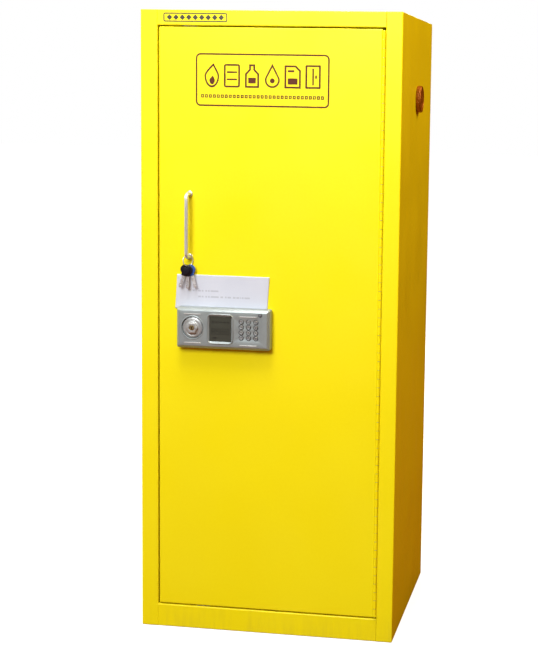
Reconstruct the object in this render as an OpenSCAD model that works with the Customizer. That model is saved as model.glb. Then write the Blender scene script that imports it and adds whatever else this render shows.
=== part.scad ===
// Flammable storage cabinet: a double-walled steel cabinet with one door on a full-length piano
// hinge, a three-point latch turned by a knob with an electronic lock, two spill-catching shelves,
// a sump tray and two capped vent ports.
// Frame: the origin is the centre of the base's underside, +Z is up and the door faces -Y.

/* [Cabinet] */
// Width of the shell
cabinet_w = 600; // [580:10:760]
// Depth of the shell
cabinet_d = 500; // [480:10:600]
// Height of the shell
cabinet_h = 1440; // [1420:10:1700]
// Thickness of the sheet steel
sheet = 1.2; // [1:0.1:1.5]
// Thickness of a double wall, from the outer face to the inner face
wall = 40; // [40:1:45]
// Outer radius of a bend in the sheet
bend_r = 2.5; // [2:0.5:3]
// Width of the folds that carry the back panel
rear_flange = 20; // [15:5:30]

/* [Front frame] */
// Width of the stile on the latch side
latch_stile = 40; // [38:1:50]
// Width of the stile on the hinge side
hinge_stile = 38; // [36:1:50]
// Height of the rail over the door
rail_h = 35; // [30:1:45]
// Height of the sill under the door
sill_h = 54; // [50:1:70]
// Depth of the door stop's lip into the opening
stop_lip = 12; // [10:1:14]

/* [Door] */
// Gap round the door
door_gap = 3; // [2.5:0.5:4]
// Thickness of the door
door_t = 38; // [36:1:40]
// Radius of the door's corners
door_corner_r = 4; // [2:1:8]
// Width of the liner's folded edge
liner_fold = 12; // [8:1:15]

/* [Hinge] */
// Diameter of the barrel
barrel_d = 7; // [7:0.5:8]
// Diameter of the pin
pin_d = 3; // [2.5:0.5:3.5]
// Radial clearance of the pin in the knuckles
pin_clearance = 0.05; // [0.02:0.01:0.08]
// Distance of the barrel's axis in front of the door's face
barrel_proud = 1.5; // [1:0.5:2]
// Length of one knuckle with its gap
knuckle_pitch = 20; // [20:5:60]
// Gap between two knuckles
knuckle_gap = 0.5; // [0.4:0.1:1]
// Width of a leaf behind the barrel's axis
leaf_w = 27; // [24:1:30]

/* [Handle] */
// Distance between the handle's legs
handle_pitch = 144; // [100:4:200]
// Diameter of the handle's rod
handle_d = 8.5; // [8:0.5:12]
// Distance of the rod's axis from the door
handle_reach = 28; // [24:1:40]
// Height of the lower leg
handle_z = 883; // [860:1:900]
// Distance of the handle from the cabinet's middle plane
handle_x = 184; // [180:1:190]

/* [Lock] */
// Width of the housing
lock_w = 219; // [200:1:230]
// Height of the housing
lock_h = 94; // [90:1:100]
// Depth of the housing
lock_d = 25; // [22:1:28]
// Diameter of the knob
knob_d = 47; // [40:1:48]
// Diameter of a push button
button_d = 9; // [8:0.5:9.5]
// Travel of a push button
button_travel = 1.2; // [0.8:0.1:1.5]

/* [Latch] */
// Teeth on the pinion
pinion_teeth = 20; // [20:1:20]
// Module of the teeth
tooth_module = 1.25; // [1.25:0.25:1.25]
// Diameter of the round rods
rod_d = 8; // [6:1:8]
// Radial clearance of a rod in its guides
rod_clearance = 0.08; // [0.05:0.01:0.1]

/* [Inside] */
// Height of the lower shelf
lower_shelf_z = 520; // [400:10:600]
// Height of the upper shelf
upper_shelf_z = 960; // [800:10:1050]
// Height of a shelf's rim
shelf_rim = 25; // [20:1:30]

/* [Vents] */
// Inner diameter of a vent tube
vent_d = 51; // [50:1:52]
// Diameter of a vent cap
cap_d = 63; // [62:1:70]
// Height of the right-hand port
right_vent_z = 1250; // [1100:10:1300]
// Height of the left-hand port
left_vent_z = 170; // [150:10:200]

/* [Hidden] */
$fn = 48;
eps = 0.01;
half_w = cabinet_w / 2;
half_d = cabinet_d / 2;
front = -half_d;

// The door opening
open_left = -half_w + latch_stile;
open_right = half_w - hinge_stile;
open_bottom = sill_h;
open_top = cabinet_h - rail_h;

// The door and its hinge
hinge_x = open_right - barrel_d / 2;
hinge_y = front - barrel_proud;
door_left = open_left + door_gap;
door_right = hinge_x - barrel_d / 2;
door_bottom = open_bottom + door_gap;
door_top = open_top - door_gap;
door_back = front + door_t;
stop_y = door_back + 1.5;
hinge_bottom = door_bottom + 2.5;
knuckles = floor((door_top - 2 - hinge_bottom) / knuckle_pitch);
leaf_t = 1;

// The lining
liner_x = half_w - wall;
liner_back = half_d - wall;
liner_top = cabinet_h - wall;
liner_front = stop_y + sheet;
sump_floor = 14;
sump_rim = 62;

// The shelf standards
standard_t = 8;
standard_w = 24;
standard_y = 155;
standard_bottom = 64;
standard_top = liner_top - 2;
slot_pitch = 75;
slot_first = 182.5;
slot_w = 6;
slot_h = 14;
bracket_t = 12;
bracket_reach = 14;
bracket_nose = 3;
bracket_root = 18;
shelf_clear = 2;
shelf_y = half_d - 60;

// The vents
vent_y = 0;
vent_wall = 1.5;
vent_proud = 8;
cap_height = 12;
cap_wall = 3;
cap_gap = 0.3;
cap_fit = 0.4;
cap_rim = 5;
cap_dish = 1.5;
cap_drive = 16;
arrestor_set_back = 6;
arrestor_t = 8;

// The grounding stud
stud_d = 8;
stud_neck_d = 10;
stud_y = 170;
stud_z = 90;
stud_reach = 18;
stud_nut = 17;
stud_nut_t = 6;
stud_washer_d = 20;
stud_washer_t = 1.5;
stud_inner_d = 16;
stud_inner_t = 5;

// The strike plates
strike_t = 1;
strike_reach = 16;
strike_half_w = 9;

// The latch: pinion, racks and rods
knob_x = -170;
knob_z = 723;
pitch_r = pinion_teeth * tooth_module / 2;
tooth_pitch = PI * tooth_module;
tooth_backlash = 0.5;
addendum = 1.1;
dedendum = 1.5;
rack_t = 6;
rack_back = 8;
rack_tail = 10;
rod_y = front + 15;
bolt_y = front + 25;
rack_stroke = pitch_r * PI / 2;
top_rod_x = knob_x - pitch_r - dedendum - rack_back / 2;
bottom_rod_x = knob_x + pitch_r + dedendum + rack_back / 2;
bolt_z = knob_z - pitch_r - dedendum - rack_back / 2;
bearing_y = front + 30.5;
bearing_t = 2.5;
bearing_half = 34;
post_inset = 4;
post_d = 6;
spindle_d = 8;
core_d = 12;
screw_d = 5;
screw_head_d = 9;
screw_head_t = 3.2;
screw_reach = 12;
guide_half_w = 8;
guide_half_h = 6;
guide_wall = 7;
top_guides = [door_top - 24, 1120, 850];
bottom_guides = [door_bottom + 24, 330, 560];
bolt_guide_x = -240;
bolt_guide_t = 12;
bolt_clearance = 0.15;

// The lock
lock_x = -208;
lock_z = 675;
lock_back = front - 2;
lock_front = lock_back - lock_d;
lock_wall = 2.5;
lock_corner_r = 6;
backplate_inset = 8;
keypad_x = -38;
keypad_z = 722;
key_column = 17;
key_row = 12.3;
display_x = -104.5;
display_z = 722;
display_w = 51;
display_h = 58;
lamp_x = -11;
lamp_z = 757;
lamp_d = 4;
recess_depth = 5;
wire_hole_d = 12;
button_proud = 1.8;
button_flange = 1.2;
button_gap = 0.1;
board_y = lock_front + lock_wall + button_gap + button_flange + button_travel + 1;
board_t = 1.6;
grip_d = 24;
grip_proud = 6;
grip_lobe_d = 5;
keyhole_w = 1.6;
keyhole_h = 7;

// The handle
handle_bend_r = 11;
collar_t = 2.5;
collar_w = 2.5;

// The key ring
ring_r = 13;
ring_wire = 1.8;
ring_y = front - 14;
ring_turn = 50;
ring_z = handle_z - (ring_r - ring_wire / 2 - handle_d / 2 - 0.3);
key_spacing = 4.4;
key_fan = [19, 2, -16];
key_yaw = -8;
key_t = 2;
key_w = 7.2;
key_foot = 53;
key_shoulder = 15;
key_cut_w = 1.6;
key_cut_h = 3;
key_cut_pitch = 6;
head_t = 2.8;
head_r = 11.5;
head_drop = 9;
head_hole_r = 3.6;
head_neck_w = 10;
head_foot = 24;

// The instruction card
card_left = -216;
card_right = 1;
card_top = 842;
card_tuck = 7;
card_gap = 0.4;
card_t = 1;

// The battery box inside the door
battery_x = -235;
battery_z = 600;
battery_w = 110;
battery_h = 60;
battery_t = 18;
battery_wall = 2;
battery_lid_t = 2;
battery_lid_gap = 0.2;
battery_d = 13.2;
battery_pitch = 15.5;
lid_ribs = 4;
lid_rib_pitch = 4;
lid_rib_w = 2;
lid_rib_t = 0.8;
lid_rib_inset = 18;

// ---- Helpers ----

// A round bar from one height to another
module rod_z(x, y, z0, z1, d) {
    translate([x, y, z0]) cylinder(d = d, h = z1 - z0);
}

// A round bar along Y
module rod_y_axis(x, z, y0, y1, d) {
    translate([x, y0, z]) rotate([-90, 0, 0]) cylinder(d = d, h = y1 - y0);
}

// A round bar along X
module rod_x_axis(y, z, x0, x1, d) {
    translate([x0, y, z]) rotate([0, 90, 0]) cylinder(d = d, h = x1 - x0);
}

// A block given by its two corners
module block(a, b) {
    translate(a) cube(b - a);
}

function heading(a, b) = (b - a) / norm(b - a);

// A straight run of sheet between two points of its middle line
module strip(a, b, t) {
    d = heading(a, b);
    across = [abs(d[1]), abs(d[0])];
    corner = [min(a[0], b[0]), min(a[1], b[1])];
    translate(corner - across * t / 2)
        square([abs(b[0] - a[0]) + across[0] * t, abs(b[1] - a[1]) + across[1] * t]);
}

// A quarter bend at point p, between the directions d1 and d2
module bend(p, d1, d2, t, r) {
    c = p + (d2 - d1) * (r - t / 2);
    q = (d1 - d2) * r;
    intersection() {
        translate(c) difference() {
            circle(r);
            circle(r - t);
        }
        translate([c[0] + min(0, q[0]), c[1] + min(0, q[1])]) square(r);
    }
}

// The section of a folded sheet along right-angled points of its middle line
module fold_section(points, t = sheet, r = bend_r) {
    last = len(points) - 1;
    rc = r - t / 2;
    for (i = [0:last - 1]) {
        d = heading(points[i], points[i + 1]);
        a = i == 0 ? points[i] : points[i] + d * rc;
        b = i == last - 1 ? points[i + 1] : points[i + 1] - d * rc;
        strip(a, b, t);
    }
    for (i = [1:last - 1])
        bend(points[i], heading(points[i - 1], points[i]), heading(points[i], points[i + 1]), t, r);
}

// A rectangle whose four corners have the radii r0 (low x, low y), r1 (high x, low y),
// r2 (high x, high y) and r3 (low x, high y)
module round_rect(a, b, r0, r1, r2, r3) {
    corners = [[a[0], a[1], 1, 1, r0], [b[0], a[1], -1, 1, r1], [b[0], b[1], -1, -1, r2], [a[0], b[1], 1, -1, r3]];
    difference() {
        translate(a) square(b - a);
        for (c = corners) corner_square([c[0], c[1]], [c[2], c[3]], c[4]);
    }
    for (c = corners)
        if (c[4] > 0) intersection() {
            translate([c[0] + c[2] * c[4], c[1] + c[3] * c[4]]) circle(c[4]);
            corner_square([c[0], c[1]], [c[2], c[3]], c[4]);
        }
}

// The square of side r at a corner p, whose inside lies along s
module corner_square(p, s, r) {
    if (r > 0) translate([p[0] + min(0, s[0]) * r, p[1] + min(0, s[1]) * r]) square(r);
}

// A shape drawn in the plane of Y and Z, pushed out along X from x0 to x1
module along_x(x0, x1) {
    translate([x0, 0, 0]) rotate([90, 0, 90]) linear_extrude(x1 - x0) children();
}

// A shape drawn in the plane of X and Z, pushed out along Y from y0 to y1
module along_y(y0, y1) {
    translate([0, y1, 0]) rotate([90, 0, 0]) linear_extrude(y1 - y0) children();
}

// ---- Shell ----

// The outline of the shell from the side, with rounded edges at the front and the back
module side_outline() {
    along_x(-half_w, half_w)
        round_rect([-half_d, 0], [half_d, cabinet_h], bend_r, bend_r, bend_r, bend_r);
}

// The outline of the shell from the front, with rounded edges where the sides meet the top and base
module front_outline() {
    along_y(-half_d, half_d)
        round_rect([-half_w, 0], [half_w, cabinet_h], bend_r, bend_r, bend_r, bend_r);
}

// A side panel: rear flange, side, front stile, return and door stop, for a stile on the -X side.
// The return is notched for the sheet of the top and of the base.
module side_panel(stile) {
    x = -half_w + sheet / 2;
    y = half_d - sheet / 2;
    inner = -half_w + stile - sheet / 2;
    difference() {
        intersection() {
            linear_extrude(cabinet_h)
                fold_section([[-half_w + rear_flange, y], [x, y], [x, -y], [inner, -y], [inner, liner_front]]);
            side_outline();
            front_outline();
        }
        for (z = [-1, cabinet_h - sheet])
            block([-half_w + stile - bend_r, front + sheet, z], [-half_w + stile + 1, liner_front + 1, z + sheet + 1]);
    }
    block([-half_w + stile - eps, stop_y, open_bottom], [-half_w + stile + stop_lip, liner_front, open_top]);
}

module left_side_panel() {
    color("gold") difference() {
        side_panel(latch_stile);
        rod_x_axis(vent_y, left_vent_z, -half_w - 1, -half_w + 10, vent_d + 2 * vent_wall);
        rod_x_axis(stud_y, stud_z, -half_w - 1, -half_w + 10, stud_neck_d);
        block([open_left - 10, bolt_y - rack_t / 2 - 1, bolt_z - rack_back / 2 - 1],
              [open_left + 1, bolt_y + rack_t / 2 + 1, bolt_z + rack_back / 2 + 1]);
    }
}

module right_side_panel() {
    color("gold") difference() {
        mirror([1, 0, 0]) side_panel(hinge_stile);
        rod_x_axis(vent_y, right_vent_z, half_w - 10, half_w + 1, vent_d + 2 * vent_wall);
    }
}

// The sheet of a top or base panel past the ends of its folds, on one side: its outer edge meets
// the side panel and fills the side panel's bends
module panel_end(outer, inner, z0, z1) {
    lo = min(outer, inner);
    hi = max(outer, inner);
    inside = outer < inner ? 1 : -1;
    corner_x = outer + inside * (bend_r - sheet);
    block([lo, front + bend_r, z0], [hi, half_d - bend_r, z1]);
    block([min(corner_x, inner), front + sheet, z0], [max(corner_x, inner), half_d - sheet, z1]);
    for (y = [front + bend_r, half_d - bend_r])
        rod_z(corner_x, y, z0, z1, 2 * (bend_r - sheet));
}

// Both ends of a top or base panel: sheet between z0 and z1, rear flange between f0 and f1
module panel_ends(z0, z1, f0, f1) {
    panel_end(-half_w + sheet, open_left, z0, z1);
    panel_end(half_w - sheet, open_right, z0, z1);
    for (x = [[-half_w + rear_flange, open_left], [open_right, half_w - rear_flange]])
        block([x[0], half_d - sheet - eps, f0], [x[1], half_d, f1]);
}

// Top panel: rear flange, top, front rail, return and door stop
module top_panel() {
    y = half_d - sheet / 2;
    z = cabinet_h - sheet / 2;
    color("gold") intersection() {
        union() {
            difference() {
                along_x(open_left, open_right)
                    fold_section([[y, cabinet_h - rear_flange], [y, z], [-y, z], [-y, open_top + sheet / 2],
                                  [liner_front, open_top + sheet / 2]]);
                rod_z(top_rod_x, rod_y, open_top - 5, open_top + 5, rod_d + 3);
            }
            panel_ends(cabinet_h - sheet, cabinet_h, cabinet_h - rear_flange, cabinet_h - sheet + eps);
            block([open_left + stop_lip, stop_y, open_top - stop_lip],
                  [open_right - stop_lip, liner_front, open_top + eps]);
        }
        front_outline();
    }
}

// Base panel: rear flange, floor, front sill, return and door stop
module base_panel() {
    y = half_d - sheet / 2;
    z = sheet / 2;
    color("gold") intersection() {
        union() {
            difference() {
                along_x(open_left, open_right)
                    fold_section([[y, rear_flange], [y, z], [-y, z], [-y, open_bottom - sheet / 2],
                                  [liner_front, open_bottom - sheet / 2]]);
                rod_z(bottom_rod_x, rod_y, open_bottom - 5, open_bottom + 5, rod_d + 3);
            }
            panel_ends(0, sheet, sheet - eps, rear_flange);
            block([open_left + stop_lip, stop_y, open_bottom - eps],
                  [open_right - stop_lip, liner_front, open_bottom + stop_lip]);
        }
        front_outline();
    }
}

module back_panel() {
    color("gold") block([-half_w + rear_flange, half_d - sheet, rear_flange],
                        [half_w - rear_flange, half_d, cabinet_h - rear_flange]);
}

// ---- Lining ----

// A side liner from the floor to the top liner, with the vent's hole
module side_liner(x0, vent_z) {
    difference() {
        block([x0, liner_front, sheet], [x0 + sheet, liner_back, liner_top]);
        rod_x_axis(vent_y, vent_z, x0 - 1, x0 + sheet + 1, vent_d + 2 * vent_wall);
    }
}

module left_liner() {
    color("khaki") side_liner(-liner_x - sheet, left_vent_z);
}

module right_liner() {
    color("khaki") side_liner(liner_x, right_vent_z);
}

module top_liner() {
    color("khaki") block([-liner_x - sheet, liner_front, liner_top], [liner_x + sheet, liner_back + sheet, liner_top + sheet]);
}

module back_liner() {
    color("khaki") block([-liner_x - sheet, liner_back, sheet], [liner_x + sheet, liner_back + sheet, liner_top]);
}

// A tray of sheet, open at the top
module tray(a, b) {
    difference() {
        block(a, b);
        block(a + [sheet, sheet, sheet], b + [-sheet, -sheet, 1]);
    }
}

module sump_tray() {
    color("khaki") tray([-liner_x, liner_front, sump_floor], [liner_x, liner_back, sump_rim]);
}

// A slotted channel that stands against the liner on the +X side
module standard() {
    x = liner_x - standard_t;
    slots = floor((standard_top - 40 - slot_first) / slot_pitch);
    along_x(x, x + sheet) difference() {
        translate([-standard_w / 2, standard_bottom]) square([standard_w, standard_top - standard_bottom]);
        for (i = [0:slots])
            translate([-slot_w / 2, slot_first + i * slot_pitch]) square([slot_w, slot_h]);
    }
    for (y = [-standard_w / 2, standard_w / 2 - sheet])
        block([x + sheet - eps, y, standard_bottom], [liner_x, y + sheet, standard_top]);
}

// What stands at the four corners of the inside
module at_corners() {
    for (x = [0, 1], y = [-standard_y, standard_y])
        mirror([x, 0, 0]) translate([0, y, 0]) children();
}

module shelf_standards() {
    color("silver") at_corners() standard();
}

// A bracket whose arm carries a shelf at height z
module bracket(z) {
    x = liner_x - standard_t;
    along_y(-bracket_t / 2, bracket_t / 2)
        polygon([[x, z], [x - bracket_reach, z], [x - bracket_reach, z - bracket_nose], [x, z - bracket_root]]);
}

module shelf_brackets() {
    color("silver") at_corners() for (z = [lower_shelf_z, upper_shelf_z]) bracket(z);
}

module shelf(z) {
    x = liner_x - standard_t - shelf_clear;
    tray([-x, -shelf_y, z], [x, shelf_y, z + shelf_rim]);
}

module upper_shelf() {
    color("silver") shelf(upper_shelf_z);
}

module lower_shelf() {
    color("silver") shelf(lower_shelf_z);
}

// ---- Vents, stud and strikes ----

// A tube through the double wall on the +X side
module vent_tube(z) {
    d = vent_d + 2 * vent_wall;
    difference() {
        rod_x_axis(vent_y, z, liner_x, half_w + vent_proud, d);
        rod_x_axis(vent_y, z, liner_x - 1, half_w + vent_proud + 1, vent_d);
    }
}

module vent_tubes() {
    color("peru") {
        vent_tube(right_vent_z);
        mirror([1, 0, 0]) vent_tube(left_vent_z);
    }
}

module flame_arrestors() {
    x0 = liner_x + arrestor_set_back;
    color("dimgray") {
        rod_x_axis(vent_y, right_vent_z, x0, x0 + arrestor_t, vent_d);
        mirror([1, 0, 0]) rod_x_axis(vent_y, left_vent_z, x0, x0 + arrestor_t, vent_d);
    }
}

// A cap on the vent tube on the +X side, with a dished face and a square drive
module vent_cap(z) {
    x0 = half_w + cap_gap;
    x1 = half_w + cap_height;
    difference() {
        rod_x_axis(vent_y, z, x0, x1, cap_d);
        rod_x_axis(vent_y, z, x0 - 1, x1 - cap_wall, vent_d + 2 * vent_wall + cap_fit);
        rod_x_axis(vent_y, z, x1 - cap_dish, x1 + 1, cap_d - 2 * cap_rim);
    }
    block([x1 - cap_dish - eps, vent_y - cap_drive / 2, z - cap_drive / 2],
          [x1, vent_y + cap_drive / 2, z + cap_drive / 2]);
}

module right_vent_cap() {
    color("chocolate") vent_cap(right_vent_z);
}

module left_vent_cap() {
    color("chocolate") mirror([1, 0, 0]) vent_cap(left_vent_z);
}

// The stud has a thick neck through the panel, a washer and a nut outside and a nut inside
module grounding_stud() {
    nut_end = -half_w - stud_washer_t - stud_nut_t;
    undercut = 0.5;
    color("goldenrod") {
        rod_x_axis(stud_y, stud_z, -half_w - stud_reach, nut_end - undercut, stud_d);
        rod_x_axis(stud_y, stud_z, nut_end - undercut, nut_end + eps, stud_d - 0.6);
        rod_x_axis(stud_y, stud_z, nut_end + 1, -half_w + stud_inner_t, stud_neck_d);
        rod_x_axis(stud_y, stud_z, -half_w - stud_washer_t, -half_w, stud_washer_d);
        translate([nut_end, stud_y, stud_z]) rotate([0, 90, 0])
            cylinder(d = stud_nut, h = stud_nut_t + eps, $fn = 6);
        rod_x_axis(stud_y, stud_z, -half_w + sheet, -half_w + stud_inner_t, stud_inner_d);
    }
}

// Plates with the holes that the three bolts enter
module rod_strike(x, z0, z1) {
    difference() {
        block([x - strike_reach, rod_y - strike_half_w, z0], [x + strike_reach, rod_y + strike_half_w, z1]);
        rod_z(x, rod_y, z0 - 1, z1 + 1, rod_d + 2);
    }
}

module strike_plates() {
    around = 0.8;
    color("silver") {
        rod_strike(top_rod_x, open_top - strike_t, open_top);
        rod_strike(bottom_rod_x, open_bottom, open_bottom + strike_t);
        difference() {
            block([open_left, bolt_y - strike_half_w, bolt_z - strike_reach],
                  [open_left + strike_t, bolt_y + strike_half_w, bolt_z + strike_reach]);
            block([open_left - 1, bolt_y - rack_t / 2 - around, bolt_z - rack_back / 2 - around],
                  [open_left + strike_t + 1, bolt_y + rack_t / 2 + around, bolt_z + rack_back / 2 + around]);
        }
    }
}

// ---- Hinge ----

// One leaf of the piano hinge: side is 1 for the frame and -1 for the door, first is the number
// of its first knuckle
module hinge_leaf(side, first) {
    top = hinge_bottom + knuckles * knuckle_pitch;
    x_near = barrel_d / 2 - leaf_t;
    clear = barrel_d / 2 - 0.5;
    bore = pin_d + 2 * pin_clearance;
    edge = [x_near, x_near + leaf_t];
    lo = side > 0 ? edge[0] : -edge[1];
    difference() {
        union() {
            block([hinge_x + lo, hinge_y + clear, hinge_bottom], [hinge_x + lo + leaf_t, hinge_y + leaf_w, top]);
            for (i = [first:2:knuckles - 1]) {
                z0 = hinge_bottom + i * knuckle_pitch + knuckle_gap / 2;
                z1 = z0 + knuckle_pitch - knuckle_gap;
                rod_z(hinge_x, hinge_y, z0, z1, barrel_d);
                block([hinge_x + lo, hinge_y, z0], [hinge_x + lo + leaf_t, hinge_y + clear + eps, z1]);
            }
        }
        rod_z(hinge_x, hinge_y, hinge_bottom - 1, top + 1, bore);
    }
}

module frame_hinge_leaf() {
    color("gold") hinge_leaf(1, 0);
}

module door_hinge_leaf() {
    color("gold") hinge_leaf(-1, 1);
}

module hinge_pin() {
    color("silver") rod_z(hinge_x, hinge_y, hinge_bottom, hinge_bottom + knuckles * knuckle_pitch, pin_d);
}

// ---- Door ----

// A block the shape of the door, shrunk by s on its front and its edges
module door_block(s, back) {
    r = bend_r - s;
    c = door_corner_r - s;
    intersection() {
        translate([0, 0, door_bottom + s]) linear_extrude(door_top - door_bottom - 2 * s)
            round_rect([door_left + s, front + s], [door_right - s, back], r, r, 0, 0);
        along_x(door_left, door_right)
            round_rect([front + s, door_bottom + s], [back, door_top - s], r, 0, 0, r);
        along_y(front, back)
            round_rect([door_left + s, door_bottom + s], [door_right - s, door_top - s], c, c, c, c);
    }
}

module door_skin() {
    color("gold") difference() {
        door_block(0, door_back);
        door_block(sheet, door_back + 1);
        rod_y_axis(knob_x, knob_z, front - 1, front + 5, wire_hole_d);
        rod_y_axis(display_x, display_z, front - 1, front + 5, wire_hole_d);
        for (z = [handle_z, handle_z + handle_pitch])
            rod_y_axis(-handle_x, z, front - 1, front + 5, screw_d + 0.4);
        rod_z(top_rod_x, rod_y, door_top - 5, door_top + 5, rod_d + 2);
        rod_z(bottom_rod_x, rod_y, door_bottom - 5, door_bottom + 5, rod_d + 2);
        block([door_left - 1, bolt_y - rack_t / 2 - 1, bolt_z - rack_back / 2 - 1],
              [door_left + 5, bolt_y + rack_t / 2 + 1, bolt_z + rack_back / 2 + 1]);
    }
}

// The outline of a pan inside the door's skin, s from the door's edges
module door_pan(s) {
    c = door_corner_r - s;
    round_rect([door_left + s, door_bottom + s], [door_right - s, door_top - s], c, c, c, c);
}

module door_liner() {
    color("gold") difference() {
        along_y(door_back - liner_fold, door_back) door_pan(sheet);
        along_y(door_back - liner_fold - 1, door_back - sheet) door_pan(2 * sheet);
        block([door_left - 1, bolt_y - rack_t / 2 - 1, bolt_z - rack_back / 2 - 1],
              [door_left + 5, bolt_y + rack_t / 2 + 1, bolt_z + rack_back / 2 + 1]);
    }
}

// The bar, its two bends and its legs, in one bent rod with a collar on each foot
module pull_handle() {
    r = handle_bend_r;
    bar_y = front - handle_reach;
    color("silver") difference() {
        union() {
            rod_z(-handle_x, bar_y, handle_z + r, handle_z + handle_pitch - r, handle_d);
            for (end = [0, 1]) {
                z = handle_z + end * handle_pitch;
                translate([-handle_x, bar_y + r, z + (end == 0 ? r : -r)])
                    rotate([0, 90, 0]) rotate([0, 0, end == 0 ? -90 : 180])
                        rotate_extrude(angle = 90) translate([r, 0]) circle(d = handle_d);
                rod_y_axis(-handle_x, z, bar_y + r, front, handle_d);
                rod_y_axis(-handle_x, z, front - collar_t, front, handle_d + 2 * collar_w);
            }
        }
        for (z = [handle_z, handle_z + handle_pitch])
            rod_y_axis(-handle_x, z, front - screw_reach - 2, front + 1, screw_d);
    }
}

module handle_screws() {
    color("silver") for (z = [handle_z, handle_z + handle_pitch]) {
        rod_y_axis(-handle_x, z, front - screw_reach, front + sheet + eps, screw_d);
        rod_y_axis(-handle_x, z, front + sheet, front + sheet + screw_head_t, screw_head_d);
    }
}

// ---- Lock ----

module lock_outline(inset) {
    r = max(lock_corner_r - inset, 1);
    round_rect([lock_x + inset, lock_z + inset], [lock_x + lock_w - inset, lock_z + lock_h - inset], r, r, r, r);
}

module lock_backplate() {
    color("dimgray") difference() {
        along_y(lock_back, front) lock_outline(backplate_inset);
        rod_y_axis(knob_x, knob_z, front - 5, front + 1, wire_hole_d);
        rod_y_axis(display_x, display_z, front - 5, front + 1, wire_hole_d);
    }
}

module button_places() {
    for (row = [0:3], column = [0:2])
        translate([keypad_x + (column - 1) * key_column, 0, keypad_z + (1.5 - row) * key_row]) children();
}

module lock_housing() {
    color("lightgray") difference() {
        along_y(lock_front, lock_back) lock_outline(0);
        difference() {
            along_y(lock_front + lock_wall, lock_back + 1) lock_outline(lock_wall);
            rod_y_axis(knob_x, knob_z, lock_front, lock_front + recess_depth + 2, knob_d + 6);
        }
        rod_y_axis(knob_x, knob_z, lock_front - 1, lock_front + recess_depth, knob_d + 1.4);
        rod_y_axis(knob_x, knob_z, lock_front - 1, lock_back, spindle_d + 1);
        block([display_x - display_w / 2, lock_front - 1, display_z - display_h / 2],
              [display_x + display_w / 2, lock_front + lock_wall + 1, display_z + display_h / 2]);
        button_places() rod_y_axis(0, 0, lock_front - 1, lock_front + lock_wall + 1, button_d + 0.6);
        rod_y_axis(lamp_x, lamp_z, lock_front - 1, lock_front + lock_wall + 1, lamp_d);
    }
}

module display_window() {
    color("darkslategray") block([display_x - display_w / 2, lock_front + 0.6, display_z - display_h / 2],
                                 [display_x + display_w / 2, lock_front + 2.4, display_z + display_h / 2]);
}

module display_module() {
    color("darkgreen") block([display_x - display_w / 2 - 3, lock_front + lock_wall, display_z - display_h / 2 - 3],
                             [display_x + display_w / 2 + 3, lock_front + lock_wall + 5, display_z + display_h / 2 + 3]);
}

module status_lamp() {
    color("whitesmoke") {
        rod_y_axis(lamp_x, lamp_z, lock_front - 0.6, lock_front + lock_wall, lamp_d);
        rod_y_axis(lamp_x, lamp_z, lock_front + lock_wall, lock_front + lock_wall + 2, lamp_d + 1);
    }
}

module keypad_board() {
    half_board = [key_column + 11, 2 * key_row + 1.4];
    color("green") block([keypad_x - half_board[0], board_y, keypad_z - half_board[1]],
                         [keypad_x + half_board[0], board_y + board_t, keypad_z + half_board[1]]);
}

// A push button with a retaining flange behind the housing's front
module push_button(number) {
    row = floor((number - 1) / 3);
    column = (number - 1) % 3;
    x = keypad_x + (column - 1) * key_column;
    z = keypad_z + (1.5 - row) * key_row;
    flange_y = lock_front + lock_wall + button_gap;
    color("gainsboro") {
        rod_y_axis(x, z, lock_front - button_proud, flange_y, button_d);
        rod_y_axis(x, z, flange_y, flange_y + button_flange, button_d + 2);
    }
}

// The knob: a disc in the housing's recess with a raised grip round the key core
module turn_knob() {
    face = lock_front + 1;
    color("silver") difference() {
        union() {
            rod_y_axis(knob_x, knob_z, face, lock_front + recess_depth - 0.5, knob_d);
            rod_y_axis(knob_x, knob_z, lock_front - grip_proud, face, grip_d);
            for (turn = [0:60:359])
                translate([knob_x, 0, knob_z]) rotate([0, turn, 0])
                    rod_y_axis(grip_d / 2, 0, lock_front - grip_proud + 1, face, grip_lobe_d);
        }
        rod_y_axis(knob_x, knob_z, lock_front - grip_proud - 1, lock_front + 1.5, core_d + 0.1);
        rod_y_axis(knob_x, knob_z, lock_front + 1.4, lock_front + recess_depth, spindle_d);
    }
}

// The key cylinder's core with its keyhole
module key_core() {
    color("darkkhaki") difference() {
        rod_y_axis(knob_x, knob_z, lock_front - grip_proud - 0.6, lock_front + 1.3, core_d);
        block([knob_x - keyhole_w / 2, lock_front - grip_proud - 1, knob_z - keyhole_h / 2],
              [knob_x + keyhole_w / 2, lock_front - 1, knob_z + keyhole_h / 2]);
    }
}

// ---- Latch ----

base_r = pitch_r * cos(20);
tip_r = pitch_r + addendum;
root_r = pitch_r - dedendum;

// A point of the involute of the base circle, unrolled by t degrees
function involute(t) = base_r * [cos(t) + t * PI / 180 * sin(t), sin(t) - t * PI / 180 * cos(t)];
function unroll(r) = sqrt(pow(r / base_r, 2) - 1) * 180 / PI;
function polar_angle(p) = atan2(p[1], p[0]);
function turned(p, a) = [p[0] * cos(a) - p[1] * sin(a), p[0] * sin(a) + p[1] * cos(a)];

// Half the angle of a tooth, at the pitch circle
half_tooth = (tooth_pitch / 2 - tooth_backlash / 2) / 2 / pitch_r * 180 / PI;
flank_steps = 5;
flank = [for (i = [0:flank_steps]) involute(unroll(base_r + (tip_r - base_r) * i / flank_steps))];
flank_shift = -half_tooth - polar_angle(involute(unroll(pitch_r)));
flank_low = [for (p = flank) turned(p, flank_shift)];
flank_high = [for (i = [flank_steps:-1:0]) [flank_low[i][0], -flank_low[i][1]]];

module pinion_section() {
    circle(root_r);
    for (i = [0:pinion_teeth - 1])
        rotate(i * 360 / pinion_teeth)
            polygon(concat([[root_r - 1, flank_low[0][1]]], flank_low, flank_high, [[root_r - 1, -flank_low[0][1]]]));
}

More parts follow.
